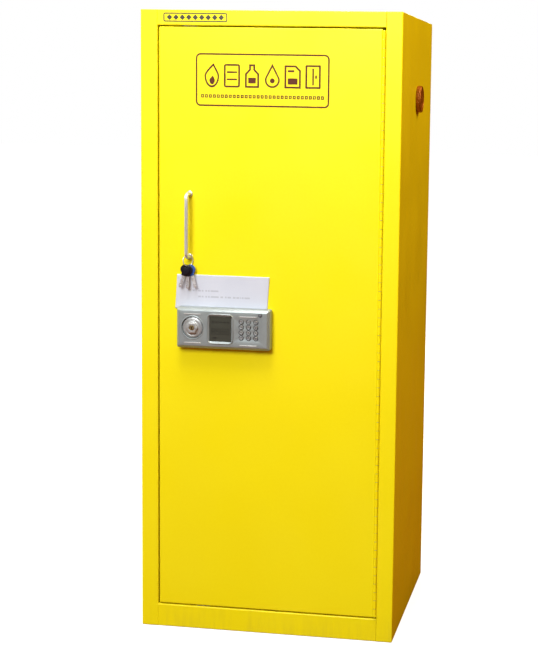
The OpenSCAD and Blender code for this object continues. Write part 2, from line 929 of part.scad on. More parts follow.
// The spindle from the knob to its bearing, with the pinion on it
module drive_pinion() {
    color("steelblue") {
        along_y(rod_y - rack_t / 2 - 1, bolt_y + rack_t / 2 + 1) translate([knob_x, knob_z]) pinion_section();
        rod_y_axis(knob_x, knob_z, lock_front + 1.5, bearing_y + bearing_t, spindle_d);
    }
}

// A straight rack along +X, teeth towards +Y, its pitch line on the X axis, with a tooth gap at 0.
// It reaches from x0 to x1.
module rack_section(x0, x1) {
    half_width = (tooth_pitch / 2 - tooth_backlash / 2) / 2;
    slope = tan(20);
    translate([x0, -dedendum - rack_back]) square([x1 - x0, rack_back]);
    for (i = [ceil(x0 / tooth_pitch - 0.2):floor(x1 / tooth_pitch - 0.8)])
        translate([(i + 0.5) * tooth_pitch, 0])
            polygon([[-half_width - dedendum * slope, -dedendum - eps], [-half_width + addendum * slope, addendum],
                     [half_width - addendum * slope, addendum], [half_width + dedendum * slope, -dedendum - eps]]);
}

// The rack on the pinion's -X side rises; a round rod carries on from it to the door's top
module top_rod() {
    lift = rack_stroke + rack_tail;
    color("slategray") {
        along_y(rod_y - rack_t / 2, rod_y + rack_t / 2)
            translate([knob_x - pitch_r, knob_z]) rotate(-90) rack_section(-rack_tail, lift);
        rod_z(top_rod_x, rod_y, knob_z + rack_tail - 1, door_top - 4, rod_d);
    }
}

// The rack on the pinion's +X side falls; a round rod carries on from it to the door's foot
module bottom_rod() {
    lift = rack_stroke + rack_tail;
    color("slategray") {
        along_y(rod_y - rack_t / 2, rod_y + rack_t / 2)
            translate([knob_x + pitch_r, knob_z]) rotate(90) rack_section(-rack_tail, lift);
        rod_z(bottom_rod_x, rod_y, door_bottom + 4, knob_z - rack_tail + 1, rod_d);
    }
}

// The rack under the pinion drives a flat bolt into the latch stile
module side_bolt() {
    color("slategray") along_y(bolt_y - rack_t / 2, bolt_y + rack_t / 2) {
        translate([knob_x, knob_z - pitch_r]) rack_section(-rack_tail, rack_stroke + rack_tail);
        translate([door_left + 2, bolt_z - rack_back / 2])
            square([knob_x - rack_tail - door_left + 2, rack_back]);
    }
}

// The plate behind the pinion, on four posts, with the spindle's bearing
module latch_bearing() {
    post = bearing_half - post_inset;
    color("silver") difference() {
        union() {
            block([knob_x - bearing_half, bearing_y, knob_z - bearing_half],
                  [knob_x + bearing_half, bearing_y + bearing_t, knob_z + bearing_half]);
            for (x = [-post, post], z = [-post, post])
                rod_y_axis(knob_x + x, knob_z + z, front + sheet, bearing_y + eps, post_d);
        }
        rod_y_axis(knob_x, knob_z, bearing_y - 1, bearing_y + 4, spindle_d + 0.1);
    }
}

// Guides fixed to the inside of the door skin
module rod_guide(x, z) {
    difference() {
        block([x - guide_half_w, front + sheet, z - guide_half_h],
              [x + guide_half_w, rod_y + guide_wall, z + guide_half_h]);
        rod_z(x, rod_y, z - guide_half_h - 1, z + guide_half_h + 1, rod_d + 2 * rod_clearance);
    }
}

module rod_guides() {
    half_bolt = [rack_t / 2 + bolt_clearance, rack_back / 2 + bolt_clearance];
    x1 = bolt_guide_x + bolt_guide_t;
    color("silver") {
        for (z = top_guides) rod_guide(top_rod_x, z);
        for (z = bottom_guides) rod_guide(bottom_rod_x, z);
        difference() {
            block([bolt_guide_x, front + sheet, bolt_z - guide_half_w],
                  [x1, bolt_y + guide_wall, bolt_z + guide_half_w]);
            block([bolt_guide_x - 1, bolt_y - half_bolt[0], bolt_z - half_bolt[1]],
                  [x1 + 1, bolt_y + half_bolt[0], bolt_z + half_bolt[1]]);
        }
    }
}

// ---- Battery box ----

module battery_box() {
    w = battery_wall;
    a = [battery_x, door_back, battery_z];
    b = a + [battery_w, battery_t - battery_lid_t - battery_lid_gap, battery_h];
    color("dimgray") difference() {
        block(a, b);
        block(a + [w, sheet, w], b + [-w, 1, -w]);
    }
}

module batteries() {
    color("darkorange") for (i = [-1:1])
        rod_x_axis(door_back + sheet + battery_d / 2, battery_z + battery_h / 2 + i * battery_pitch,
                   battery_x + 2 * battery_wall, battery_x + battery_w - 2 * battery_wall, battery_d);
}

// The sliding cover, with ribs for the thumb
module battery_cover() {
    y = door_back + battery_t - battery_lid_t;
    color("dimgray") {
        block([battery_x, y, battery_z], [battery_x + battery_w, y + battery_lid_t, battery_z + battery_h]);
        for (i = [1:lid_ribs]) {
            x = battery_x + battery_w - 4 - i * lid_rib_pitch;
            block([x, y + battery_lid_t - eps, battery_z + lid_rib_inset],
                  [x + lid_rib_w, y + battery_lid_t + lid_rib_t, battery_z + battery_h - lid_rib_inset]);
        }
    }
}

// ---- Card and keys ----

// The card stands behind the top edge of the lock's housing
module instruction_card() {
    color("whitesmoke") block([card_left, front - card_gap - card_t, lock_z + lock_h - card_tuck],
                              [card_right, front - card_gap, card_top]);
}

module key_ring() {
    color("silver") translate([-handle_x, ring_y, ring_z]) rotate([90, 0, ring_turn])
        rotate_extrude() translate([ring_r, 0]) circle(d = ring_wire);
}

// What hangs from the ring's foot: three keys side by side along the wire, facing the front and
// fanned out
module on_ring() {
    for (i = [0:2]) {
        along = (i - 1) * key_spacing;
        translate([-handle_x, ring_y, ring_z]) rotate([0, 0, ring_turn])
            translate([along, 0, -sqrt(pow(ring_r, 2) - pow(along, 2))])
                rotate([0, 0, key_yaw - ring_turn]) rotate([0, key_fan[i], 0]) children();
    }
}

module keys() {
    color("silver") on_ring() along_y(-key_t / 2, key_t / 2) difference() {
        translate([-key_w / 2, -key_foot]) square([key_w, key_foot - key_shoulder]);
        for (i = [0:3])
            translate([-key_w / 2 - 0.1, 3 - key_foot + i * key_cut_pitch]) square([key_cut_w, key_cut_h]);
    }
}

// The head holds the key's blade in a slot as thick as the blade
module key_heads() {
    color("black") on_ring() difference() {
        along_y(-head_t / 2, head_t / 2) difference() {
            union() {
                translate([0, -head_drop]) circle(r = head_r);
                translate([-head_neck_w / 2, -head_foot]) square([head_neck_w, 8]);
            }
            translate([0, -1.6]) circle(r = head_hole_r);
        }
        block([-key_w / 2, -key_t / 2, -head_foot - 1], [key_w / 2, key_t / 2, -key_shoulder]);
    }
}

left_side_panel();
right_side_panel();
top_panel();
base_panel();
back_panel();
left_liner();
right_liner();
top_liner();
back_liner();
sump_tray();
shelf_standards();
shelf_brackets();
upper_shelf();
lower_shelf();
vent_tubes();
flame_arrestors();
grounding_stud();
strike_plates();
frame_hinge_leaf();
hinge_pin();
right_vent_cap();
left_vent_cap();
door_skin();
door_liner();
door_hinge_leaf();
pull_handle();
handle_screws();
lock_backplate();
lock_housing();
display_window();
display_module();
status_lamp();
keypad_board();
latch_bearing();
rod_guides();
battery_box();
batteries();
battery_cover();
instruction_card();
turn_knob();
drive_pinion();
key_core();
top_rod();
bottom_rod();
side_bolt();
key_ring();
keys();
key_heads();
for (i = [1:12])
    push_button(i);
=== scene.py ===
# %% [markdown]
# # Dressing a storage cabinet for flammable liquids
#
# The cabinet comes in as a fixed frame: folded sheet steel, a door on a full-length hinge, a lock,
# a latch and two vents, each already in its place. This lesson gives each of those parts its
# finish, and builds in numpy the small pieces that people look at and touch: the lock, its knob
# and buttons, the handle, the keys, the card, the vent caps and the printed signs.
# Every length below is in millimetres, in the cabinet's own frame: X runs along the front from
# left to right, Y from the front to the back, and Z up from the floor.

import math

import bmesh
import bpy
import numpy as np
from mathutils import Matrix, Vector, geometry


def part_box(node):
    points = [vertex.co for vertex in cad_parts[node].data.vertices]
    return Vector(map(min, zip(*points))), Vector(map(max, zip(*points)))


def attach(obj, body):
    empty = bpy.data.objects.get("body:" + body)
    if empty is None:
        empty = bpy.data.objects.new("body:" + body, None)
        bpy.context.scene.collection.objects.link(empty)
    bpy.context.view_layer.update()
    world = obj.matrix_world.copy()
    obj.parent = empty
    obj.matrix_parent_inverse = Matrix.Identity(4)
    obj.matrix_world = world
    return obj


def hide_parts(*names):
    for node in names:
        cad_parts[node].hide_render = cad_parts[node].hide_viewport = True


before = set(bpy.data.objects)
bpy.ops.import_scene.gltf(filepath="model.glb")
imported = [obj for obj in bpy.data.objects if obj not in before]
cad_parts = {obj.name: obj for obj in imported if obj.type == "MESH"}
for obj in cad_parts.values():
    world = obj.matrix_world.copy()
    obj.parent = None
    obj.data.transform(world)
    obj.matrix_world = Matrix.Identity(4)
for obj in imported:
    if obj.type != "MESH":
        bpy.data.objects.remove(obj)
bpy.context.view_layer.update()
scene = bpy.context.scene
MM = 0.001


def box_mm(node):
    """The lowest and the highest corner of a part of the frame, in millimetres."""
    low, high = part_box(node)
    return np.array(low) / MM, np.array(high) / MM


def middle_xz(node):
    """The middle of a part of the frame, in X and Z."""
    return sum(box_mm(node))[[0, 2]] / 2


shell_low, shell_high = box_mm("left_side_panel")[0], box_mm("right_side_panel")[1]
door_low, door_high = box_mm("door_skin")
front = door_low[1]
print(f"the door's face is {-front:.0f} mm in front of the middle, {door_high[2] - door_low[2]:.0f} mm high")

# %% [markdown]
# ## The camera
#
# A camera's place, its turn and its lens have to be found together: a longer lens from further
# away gives the same height but flatter sides. Here the camera stands at the height of a person's
# chest, to the right of the cabinet, and looks slightly down. The shift slides the picture over the
# film, as a view camera does, so that the cabinet stays upright in the frame.

# %% Set up the camera
camera = bpy.data.objects.new("camera", bpy.data.cameras.new("camera"))
camera.data.sensor_width = 36
camera.data.lens = 79.2
camera.data.shift_x, camera.data.shift_y = -0.2, -0.08
turn, tilt, roll = (math.radians(a) for a in (8.5, -6.868, 1.071))
camera.matrix_world = (
    Matrix.Translation((0.7676, -3.3827, 1.2468))
    @ Matrix.Rotation(turn, 4, "Z")
    @ Matrix.Rotation(math.pi / 2 + tilt, 4, "X")
    @ Matrix.Rotation(roll, 4, "Z")
)
scene.collection.objects.link(camera)
scene.camera = camera

# %% [markdown]
# ## Nodes by the line
#
# A material is a graph. Written out call by call, a graph takes many lines that say nothing, so one
# helper adds a node, sets its own properties and joins its sockets in a single call. A value that
# comes from another node is linked, and any other value is set on the socket itself.

# %% Helpers for material graphs


def node(tree, kind, inputs=None, **settings):
    """Adds a node of a kind; inputs are values or other nodes' outputs, by socket name or number."""
    made = tree.nodes.new("ShaderNode" + kind)
    for key, value in settings.items():
        setattr(made, key, value)
    for key, value in (inputs or {}).items():
        if isinstance(value, bpy.types.NodeSocket):
            tree.links.new(value, made.inputs[key])
        else:
            made.inputs[key].default_value = value
    return made


def sums(tree, operation, first, second=0.0, third=0.0):
    """One sum on numbers, such as ADD, MULTIPLY or LESS_THAN."""
    return node(tree, "Math", {0: first, 1: second, 2: third}, operation=operation).outputs[0]


def noise(tree, at, scale, detail=2.0, roughness=0.5):
    """Soft random values between 0 and 1; scale counts the blobs in a metre."""
    found = node(tree, "TexNoise", {"Vector": at, "Scale": scale, "Detail": detail, "Roughness": roughness})
    return found.outputs["Fac"]


def spread(tree, value, low, high, to_low=0.0, to_high=1.0):
    """Stretches the part of a value between low and high over a new range, and clips the rest."""
    sockets = {"Value": value, "From Min": low, "From Max": high, "To Min": to_low, "To Max": to_high}
    return node(tree, "MapRange", sockets).outputs["Result"]


def ramp(tree, value, stops):
    """Turns a value into colours: stops are pairs of a position and a colour."""
    made = node(tree, "ValToRGB", {"Fac": value})
    elements = made.color_ramp.elements
    for i, (position, colour) in enumerate(stops):
        stop = elements[i] if i < 2 else elements.new(position)
        stop.position, stop.color = position, (*colour, 1)
    return made.outputs["Color"]


def weighed(tree, first, share, second):
    """Two values as one: a share of the first, and the rest from the second."""
    return sums(tree, "MULTIPLY_ADD", first, share, sums(tree, "MULTIPLY", second, 1 - share))


def mixed(tree, share, first, second):
    """The first colour where share is 0 and the second where it is 1. A Mix node keeps its colours
    in its sockets 6 and 7, and gives the mixed colour from its third output."""
    colours = [c if isinstance(c, bpy.types.NodeSocket) else (*c, 1) for c in (first, second)]
    made = node(tree, "Mix", {0: share, 6: colours[0], 7: colours[1]}, data_type="RGBA")
    return made.outputs[2]


def relief(tree, shader, height, distance, strength=1.0):
    """Lets a height, in metres, tilt the light on a surface without moving it."""
    bump = node(tree, "Bump", {"Height": height, "Distance": distance, "Strength": strength})
    tree.links.new(bump.outputs["Normal"], shader.inputs["Normal"])


def finish(name, **even):
    """A new material; even gives what is the same all over, as socket_name=value."""
    material = bpy.data.materials.new(name)
    material.use_nodes = True
    tree = material.node_tree
    shader = tree.nodes["Principled BSDF"]
    for key, value in even.items():
        socket = shader.inputs[key.replace("_", " ")]
        socket.default_value = (*value, 1) if isinstance(value, tuple) else value
    at = node(tree, "TexCoord").outputs["Object"]
    return material, tree, shader, at


# %% [markdown]
# ## Powder-coated steel
#
# The shell and the door are sprayed with dry powder and baked. The coat is glossy, but it dries
# with an orange peel: shallow swellings two or three millimetres across that break up a
# reflection. Its colour drifts a little where the coat is thicker, and the foot of the cabinet
# collects scuffs and dust. Bump mapping suits the peel, as it is far too fine to model, and
# noise at three sizes gives the peel, the drift and the dust.

# %% Paint
THIN_YELLOW, DEEP_YELLOW, YELLOW_GLOSS = (0.885, 0.775, 0.007), (0.86, 0.74, 0.005), 0.36
DUST_COLOUR, DUST_HEIGHT = (0.23, 0.15, 0.03), 0.07
PEEL_SWELLINGS = 330


def paint(name, light, deep, gloss, peel=0.00013):
    """Powder coat: light and deep are its colours where it is thin and thick, gloss its roughness."""
    material, tree, shader, at = finish(name, Coat_Weight=0.05, Coat_Roughness=0.15, Specular_IOR_Level=0.22)
    height = node(tree, "SeparateXYZ", {"Vector": at}).outputs["Z"]
    drift = noise(tree, at, 2.6, 4)
    speckle = noise(tree, at, 160, 2)
    colour = ramp(tree, weighed(tree, speckle, 0.25, drift), [(0.38, deep), (0.62, light)])
    low_down = spread(tree, height, 0.0, DUST_HEIGHT, 1.0, 0.0)
    streaks = node(tree, "Mapping", {"Vector": at, "Scale": (1, 1, 0.12)}).outputs["Vector"]
    dust = sums(tree, "MULTIPLY", low_down, spread(tree, noise(tree, streaks, 34, 5, 0.7), 0.46, 0.75))
    scuff = sums(tree, "MULTIPLY", dust, 0.22)
    tree.links.new(mixed(tree, scuff, colour, DUST_COLOUR), shader.inputs["Base Color"])
    wiped = spread(tree, noise(tree, at, 7, 3), 0.35, 0.7, gloss - 0.05, gloss + 0.07)
    tree.links.new(sums(tree, "MULTIPLY_ADD", dust, 0.3, wiped), shader.inputs["Roughness"])
    relief(tree, shader, noise(tree, at, PEEL_SWELLINGS, 2), peel, 0.6)
    return material


yellow = paint("yellow_powder_coat", THIN_YELLOW, DEEP_YELLOW, YELLOW_GLOSS)
lining = paint("lining_powder_coat", (0.90, 0.70, 0.03), (0.84, 0.63, 0.02), 0.42, 0.0001)

# %% [markdown]
# ## Bare metals
#
# Zinc-plated shelves show spangle: flat crystals as wide as a thumbnail, each reflecting the
# light a little differently. A Voronoi texture has just that pattern, so its cells drive the
# colour and the roughness. Drawn, ground or polished steel has hair-fine lines along the way that
# it was worked instead, and those come from noise stretched along one axis.

# %% Zinc and steel
CRYSTALS = 75


def zinc(name):
    """Galvanised sheet: every crystal has its own grey and its own roughness."""
    material, tree, shader, at = finish(name, Metallic=1.0)
    cells = node(tree, "TexVoronoi", {"Vector": at, "Scale": CRYSTALS, "Randomness": 1.0})
    grey = node(tree, "SeparateColor", {"Color": cells.outputs["Color"]}).outputs[0]
    tone = weighed(tree, noise(tree, at, 240, 4), 0.35, grey)
    colour = ramp(tree, tone, [(0.1, (0.36, 0.38, 0.40)), (0.9, (0.66, 0.68, 0.70))])
    tree.links.new(colour, shader.inputs["Base Color"])
    tree.links.new(spread(tree, grey, 0.0, 1.0, 0.28, 0.5), shader.inputs["Roughness"])
    relief(tree, shader, cells.outputs["Distance"], 0.0003, 0.15)
    return material


def worked_metal(name, dark, light, gloss, along=(1, 1, 0.03), lines=700.0, tarnish=0.0, metal=1.0):
    """Metal with fine lines along the axis that `along` shrinks, and an optional brown tarnish."""
    material, tree, shader, at = finish(name, Metallic=metal)
    stretched = node(tree, "Mapping", {"Vector": at, "Scale": along}).outputs["Vector"]
    grain = noise(tree, stretched, lines, 3)
    cloud = noise(tree, at, 45, 3)
    colour = ramp(tree, weighed(tree, grain, 0.5, cloud), [(0.3, dark), (0.7, light)])
    if tarnish:
        spots = sums(tree, "MULTIPLY", spread(tree, noise(tree, at, 120, 5, 0.7), 0.5, 0.72), tarnish)
        colour = mixed(tree, spots, colour, tuple(c * 0.35 for c in dark))
    tree.links.new(colour, shader.inputs["Base Color"])
    tree.links.new(spread(tree, grain, 0.3, 0.7, gloss * 0.75, gloss * 1.3), shader.inputs["Roughness"])
    relief(tree, shader, grain, 0.00002, 0.4)
    return material


galvanised = zinc("galvanised_sheet")
hinge_steel = worked_metal("bright_steel", (0.35, 0.35, 0.36), (0.60, 0.60, 0.62), 0.3)
latch_steel = worked_metal("rolled_steel", (0.30, 0.31, 0.33), (0.55, 0.56, 0.58), 0.34, tarnish=0.25)
chrome = worked_metal("satin_chrome", (0.62, 0.66, 0.73), (0.76, 0.80, 0.87), 0.3, lines=500, metal=0.62)
knob_metal = worked_metal("brushed_knob_metal", (0.34, 0.36, 0.36), (0.46, 0.48, 0.48), 0.38,
                          (1, 1, 1), 420, metal=0.5)
nickel = worked_metal("nickel_plate", (0.52, 0.53, 0.55), (0.78, 0.79, 0.81), 0.3, (0.05, 1, 1), 900, metal=0.6)
brass = worked_metal("cylinder_brass", (0.24, 0.20, 0.10), (0.46, 0.40, 0.22), 0.34, (1, 1, 1), 600, 0.4)
stud_metal = worked_metal("turned_brass", (0.46, 0.29, 0.08), (0.74, 0.55, 0.22), 0.3, (1, 1, 1), 300, 0.5)
metals = (galvanised, hinge_steel, latch_steel, chrome, knob_metal, nickel, brass, stud_metal)
print("metals:", ", ".join(metal.name for metal in metals))

# %% [markdown]
# ## Plastics, glass and paper
#
# A moulded part takes the texture of its mould: a fine, even grain. The lock's housing is sprayed
# silver over such plastic, so flakes of metal glitter in it. Those flakes are cells of a tiny
# Voronoi pattern that change the brightness and nothing else.

# %% Moulded plastics


def plastic(name, colour, gloss, grain=0.00003, size=900.0, flakes=0.0, metal=0.0):
    """Moulded plastic with a fine grain; flakes is how strongly a silver spray glitters in it."""
    material, tree, shader, at = finish(name, Metallic=metal, IOR=1.46)
    cloud = noise(tree, at, 30, 3)
    dark, light = tuple(c * 0.88 for c in colour), tuple(min(1.0, c * 1.06) for c in colour)
    tone = cloud
    if flakes:
        cells = node(tree, "TexVoronoi", {"Vector": at, "Scale": 1500}).outputs["Color"]
        glint = node(tree, "SeparateColor", {"Color": cells}).outputs[0]
        tone = weighed(tree, glint, flakes, cloud)
    tree.links.new(ramp(tree, tone, [(0.3, dark), (0.7, light)]), shader.inputs["Base Color"])
    wear = spread(tree, noise(tree, at, 60, 3), 0.3, 0.7, gloss - 0.04, gloss + 0.06)
    tree.links.new(wear, shader.inputs["Roughness"])
    relief(tree, shader, noise(tree, at, size, 2), grain, 0.5)
    return material


silver = plastic("silver_sprayed_plastic", (0.315, 0.365, 0.375), 0.36, flakes=0.4, metal=0.4)
pale_silver = plastic("pale_silver_trim", (0.52, 0.54, 0.54), 0.3, flakes=0.3, metal=0.3)
button_metal = plastic("button_silver", (0.36, 0.395, 0.405), 0.26, flakes=0.2, metal=0.5)
dark_plastic = plastic("dark_plastic", (0.035, 0.036, 0.038), 0.45)
# Dark rubber: the lamp's own ring, and also the painted shade of the keypad's collars round the buttons.
rubber_and_shade = plastic("lamp_rubber_and_keypad_shade", (0.045, 0.047, 0.05), 0.6, 0.00005, 700)
key_black = plastic("key_black_plastic", (0.012, 0.012, 0.018), 0.16)
key_blue = plastic("key_blue_plastic", (0.03, 0.085, 0.33), 0.24)
box_plastic = plastic("battery_box_plastic", (0.03, 0.03, 0.032), 0.5, 0.00008, 500)
lens = plastic("smoked_lens", (0.17, 0.18, 0.2), 0.3, 0.000005)
sign_print = plastic("brown_screen_print", (0.095, 0.016, 0.0005), 0.7, 0.00002, 500)
badge_print = plastic("dark_screen_print", (0.03, 0.025, 0.012), 0.4, 0.00002, 500)
cap_colour = plastic("vent_cap_brown", (0.40, 0.125, 0.008), 0.3, 0.00004, 400, metal=0.45)
digit_ink = plastic("digit_ink", (0.02, 0.02, 0.024), 0.5)
segment_ink = plastic("display_segments", (0.018, 0.02, 0.016), 0.3)

# %% [markdown]
# Some finishes need their own graph: the display is a dark pane over a faint grid of cells, the
# circuit boards have copper tracks under green lacquer, the arrestor is a woven wire cloth, a
# battery has a wrapped label with coloured bands, and paper is all fibres.

# %% Glass, boards, wire cloth, labels and paper
CELL, CELL_FILL = 0.0009, 0.85
WIRE_PITCH = 0.0014
TRACK_STEP = 0.0016
LETTER_WIDTH = 0.0021


def stripes(tree, value, pitch, share):
    """1 on bars that take a share of every pitch along a value, and 0 between them."""
    return sums(tree, "LESS_THAN", sums(tree, "FRACT", sums(tree, "DIVIDE", value, pitch)), share)


def display_glass():
    """A dark green pane, a little lighter between the cells of the display behind it."""
    material, tree, shader, at = finish("dark_pane", Roughness=0.2, Coat_Weight=0.3, Coat_Roughness=0.06)
    place = node(tree, "SeparateXYZ", {"Vector": at})
    columns, rows = (stripes(tree, place.outputs[axis], CELL, CELL_FILL) for axis in "XZ")
    cell = sums(tree, "MULTIPLY", columns, rows)
    colour = ramp(tree, noise(tree, at, 40, 2), [(0.3, (0.04, 0.046, 0.037)), (0.7, (0.055, 0.061, 0.05))])
    tree.links.new(mixed(tree, cell, colour, (0.05, 0.055, 0.045)), shader.inputs["Base Color"])
    return material


def circuit_board():
    """Green lacquer over copper tracks, which lie wherever a noise on a square grid is high."""
    material, tree, shader, at = finish("lacquered_board", Coat_Weight=0.6, Coat_Roughness=0.15, Roughness=0.4)
    blocks = node(tree, "VectorMath", {0: at, 1: (TRACK_STEP,) * 3}, operation="SNAP").outputs[0]
    tracks = sums(tree, "GREATER_THAN", noise(tree, blocks, 190, 1), 0.55)
    tree.links.new(mixed(tree, tracks, (0.01, 0.11, 0.035), (0.03, 0.23, 0.06)), shader.inputs["Base Color"])
    relief(tree, shader, tracks, 0.00004)
    return material


def wire_cloth():
    """Woven wire: two sets of round wires, with painted shade: black in the gaps where neither passes, and the
    wires darkening towards them.
    """
    material, tree, shader, at = finish("arrestor_wire_cloth", Metallic=0.9, Roughness=0.45)
    place = node(tree, "SeparateXYZ", {"Vector": at})
    turns = [sums(tree, "MULTIPLY", place.outputs[axis], math.pi / WIRE_PITCH) for axis in "YZ"]
    warp, weft = (sums(tree, "ABSOLUTE", sums(tree, "SINE", turn)) for turn in turns)
    wires = sums(tree, "MAXIMUM", warp, weft)
    # Painted shade: black in the gaps between the wires, fading to grey up each wire's flank.
    colour = ramp(tree, wires, [(0.55, (0.01, 0.01, 0.01)), (0.8, (0.34, 0.31, 0.26))])
    tree.links.new(colour, shader.inputs["Base Color"])
    relief(tree, shader, wires, 0.0005)
    return material


def battery_label():
    """A printed sleeve: a copper-coloured band at one end, dark wrap, and thin pale rings."""
    material, tree, shader, at = finish("battery_wrap", Coat_Weight=0.5, Coat_Roughness=0.1, Roughness=0.35)
    place = node(tree, "SeparateXYZ", {"Vector": at})
    along = sums(tree, "SUBTRACT", place.outputs["X"], box_mm("batteries")[0][0] * MM)
    band = sums(tree, "LESS_THAN", along, 0.032)
    ring = sums(tree, "COMPARE", along, 0.036, 0.0008)
    worn = noise(tree, at, 70, 4)
    black = ramp(tree, worn, [(0.3, (0.02, 0.02, 0.025)), (0.7, (0.04, 0.04, 0.045))])
    wrap = mixed(tree, band, black, (0.62, 0.24, 0.06))
    tree.links.new(mixed(tree, ring, wrap, (0.75, 0.74, 0.70)), shader.inputs["Base Color"])
    return material


def card_paper():
    """Bluish white paper with fibres and two rows of faint grey marks, broken up at random."""
    material, tree, shader, at = finish("card_stock", Roughness=0.85)
    place = node(tree, "SeparateXYZ", {"Vector": at})
    fibres = noise(tree, at, 500, 5, 0.7)
    tone = weighed(tree, fibres, 0.4, noise(tree, at, 14, 3))
    colour = ramp(tree, tone, [(0.3, (0.55, 0.595, 0.685)), (0.7, (0.61, 0.65, 0.74))])
    letters = node(tree, "VectorMath", {0: at, 1: (LETTER_WIDTH, 9.0, 9.0)}, operation="SNAP").outputs[0]
    marks = None
    for height, left, right in ((0.805, -0.179, -0.116), (0.7915, -0.168, -0.040)):
        row = sums(tree, "COMPARE", place.outputs["Z"], height, 0.0019)
        inside = sums(tree, "COMPARE", place.outputs["X"], (left + right) / 2, (right - left) / 2)
        word = sums(tree, "GREATER_THAN", noise(tree, letters, 170, 1), 0.47)
        row = sums(tree, "MULTIPLY", sums(tree, "MULTIPLY", row, inside), word)
        marks = row if marks is None else sums(tree, "MAXIMUM", marks, row)
    faint = sums(tree, "MULTIPLY", marks, 0.3)
    tree.links.new(mixed(tree, faint, colour, (0.12, 0.12, 0.15)), shader.inputs["Base Color"])
    relief(tree, shader, fibres, 0.00005)
    return material


glass, board, mesh_wire = display_glass(), circuit_board(), wire_cloth()
sleeve, paper = battery_label(), card_paper()

# %% [markdown]
# ## A painted hinge that has been opened many times
#
# The piano hinge is painted with the cabinet, and then its knuckles rub on each other: bare steel
# shows through in a thin ring at each joint between two knuckles. The knuckles repeat along Z at an
# even pitch, so the worn rings are simply a function of the height.

# %% Hinge paint


def hinge_paint():
    """Powder coat with bare rings: the distance to the nearest joint decides what shows."""
    material = paint("hinge_powder_coat", THIN_YELLOW, DEEP_YELLOW, YELLOW_GLOSS)
    tree = material.node_tree
    shader = tree.nodes["Principled BSDF"]
    at = node(tree, "TexCoord").outputs["Object"]
    place = node(tree, "SeparateXYZ", {"Vector": at})
    pitch, first = 0.020, box_mm("hinge_pin")[0][2] * MM
    turns = sums(tree, "DIVIDE", sums(tree, "SUBTRACT", place.outputs["Z"], first), pitch)
    nearest = sums(tree, "ABSOLUTE", sums(tree, "SUBTRACT", turns, sums(tree, "ROUND", turns)))
    rough_edge = sums(tree, "MULTIPLY_ADD", noise(tree, at, 500, 3), 0.05, nearest)
    on_barrel = sums(tree, "LESS_THAN", place.outputs["Y"], front * MM)
    bare = sums(tree, "MULTIPLY", sums(tree, "LESS_THAN", rough_edge, 0.045), on_barrel)
    painted = shader.inputs["Base Color"].links[0].from_socket
    tree.links.new(mixed(tree, bare, painted, (0.42, 0.41, 0.40)), shader.inputs["Base Color"])
    tree.links.new(sums(tree, "MULTIPLY", bare, 0.9), shader.inputs["Metallic"])
    return material


hinge_coat = hinge_paint()

# %% [markdown]
# ## Finishes for the frame's own parts
#
# Parts whose shape is already right keep it: they only get their finish. A table of finish and
# parts is easier to check than one line for each part.

# %% Hand out the finishes
finishes = {
    yellow: ["left_side_panel", "right_side_panel", "top_panel", "base_panel", "back_panel", "door_skin"],
    lining: ["left_liner", "right_liner", "top_liner", "back_liner", "sump_tray", "door_liner"],
    galvanised: ["shelf_standards", "shelf_brackets", "upper_shelf", "lower_shelf", "strike_plates",
                 "latch_bearing", "rod_guides"],
    hinge_coat: ["frame_hinge_leaf", "door_hinge_leaf"],
    hinge_steel: ["hinge_pin", "handle_screws"],
    latch_steel: ["drive_pinion", "top_rod", "bottom_rod", "side_bolt"],
    stud_metal: ["vent_tubes"],
    mesh_wire: ["flame_arrestors"],
    dark_plastic: ["lock_backplate"],
    board: ["display_module", "keypad_board"],
    box_plastic: ["battery_box", "battery_cover"],
    sleeve: ["batteries"],
}
for material, parts in finishes.items():
    for part in parts:
        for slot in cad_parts[part].material_slots:
            slot.material = material
print(sum(len(parts) for parts in finishes.values()), "parts of the frame have their finish")

# %% [markdown]
# ## Surfaces from arrays
#
# Every new piece is a stack of rings. A ring is a closed row of points; the skin between two
# rings is a band of four-sided faces, and a flat area between an outline and its holes is filled
# with triangles. Five small functions are enough: one joins rings, one fills an outline, one moves
# an outline inwards to round an edge, one turns a profile round an axis and one carries a section
# along a path. Welding the shared points afterwards closes the shape.

# %% Rings and bands


def bands(rings):
    """Faces between neighbouring rings, for an array of (rings, points on a ring, 3): each face
    joins two neighbours on a ring to the same two on the next ring."""
    count, around = rings.shape[:2]
    i, j = np.arange(count - 1)[:, None], np.arange(around)[None, :]
    k = (j + 1) % around
    corners = [i * around + j, i * around + k, (i + 1) * around + k, (i + 1) * around + j]
    faces = np.stack(np.broadcast_arrays(*corners), -1).reshape(-1, 4)
    return rings.reshape(-1, 3), faces.tolist()


def joined(surfaces):
    """Several surfaces as one: the numbers of each one's points follow on from the last one's."""
    starts = np.cumsum([0] + [len(points) for points, _ in surfaces])
    faces = [[n + start for n in face] for start, (_, made) in zip(starts, surfaces) for face in made]
    return np.concatenate([points for points, _ in surfaces]), faces


def placed(surface, matrix):
    """A surface moved by a matrix."""
    points, faces = surface
    matrix = np.array(matrix)
    return points @ matrix[:3, :3].T + matrix[:3, 3], faces


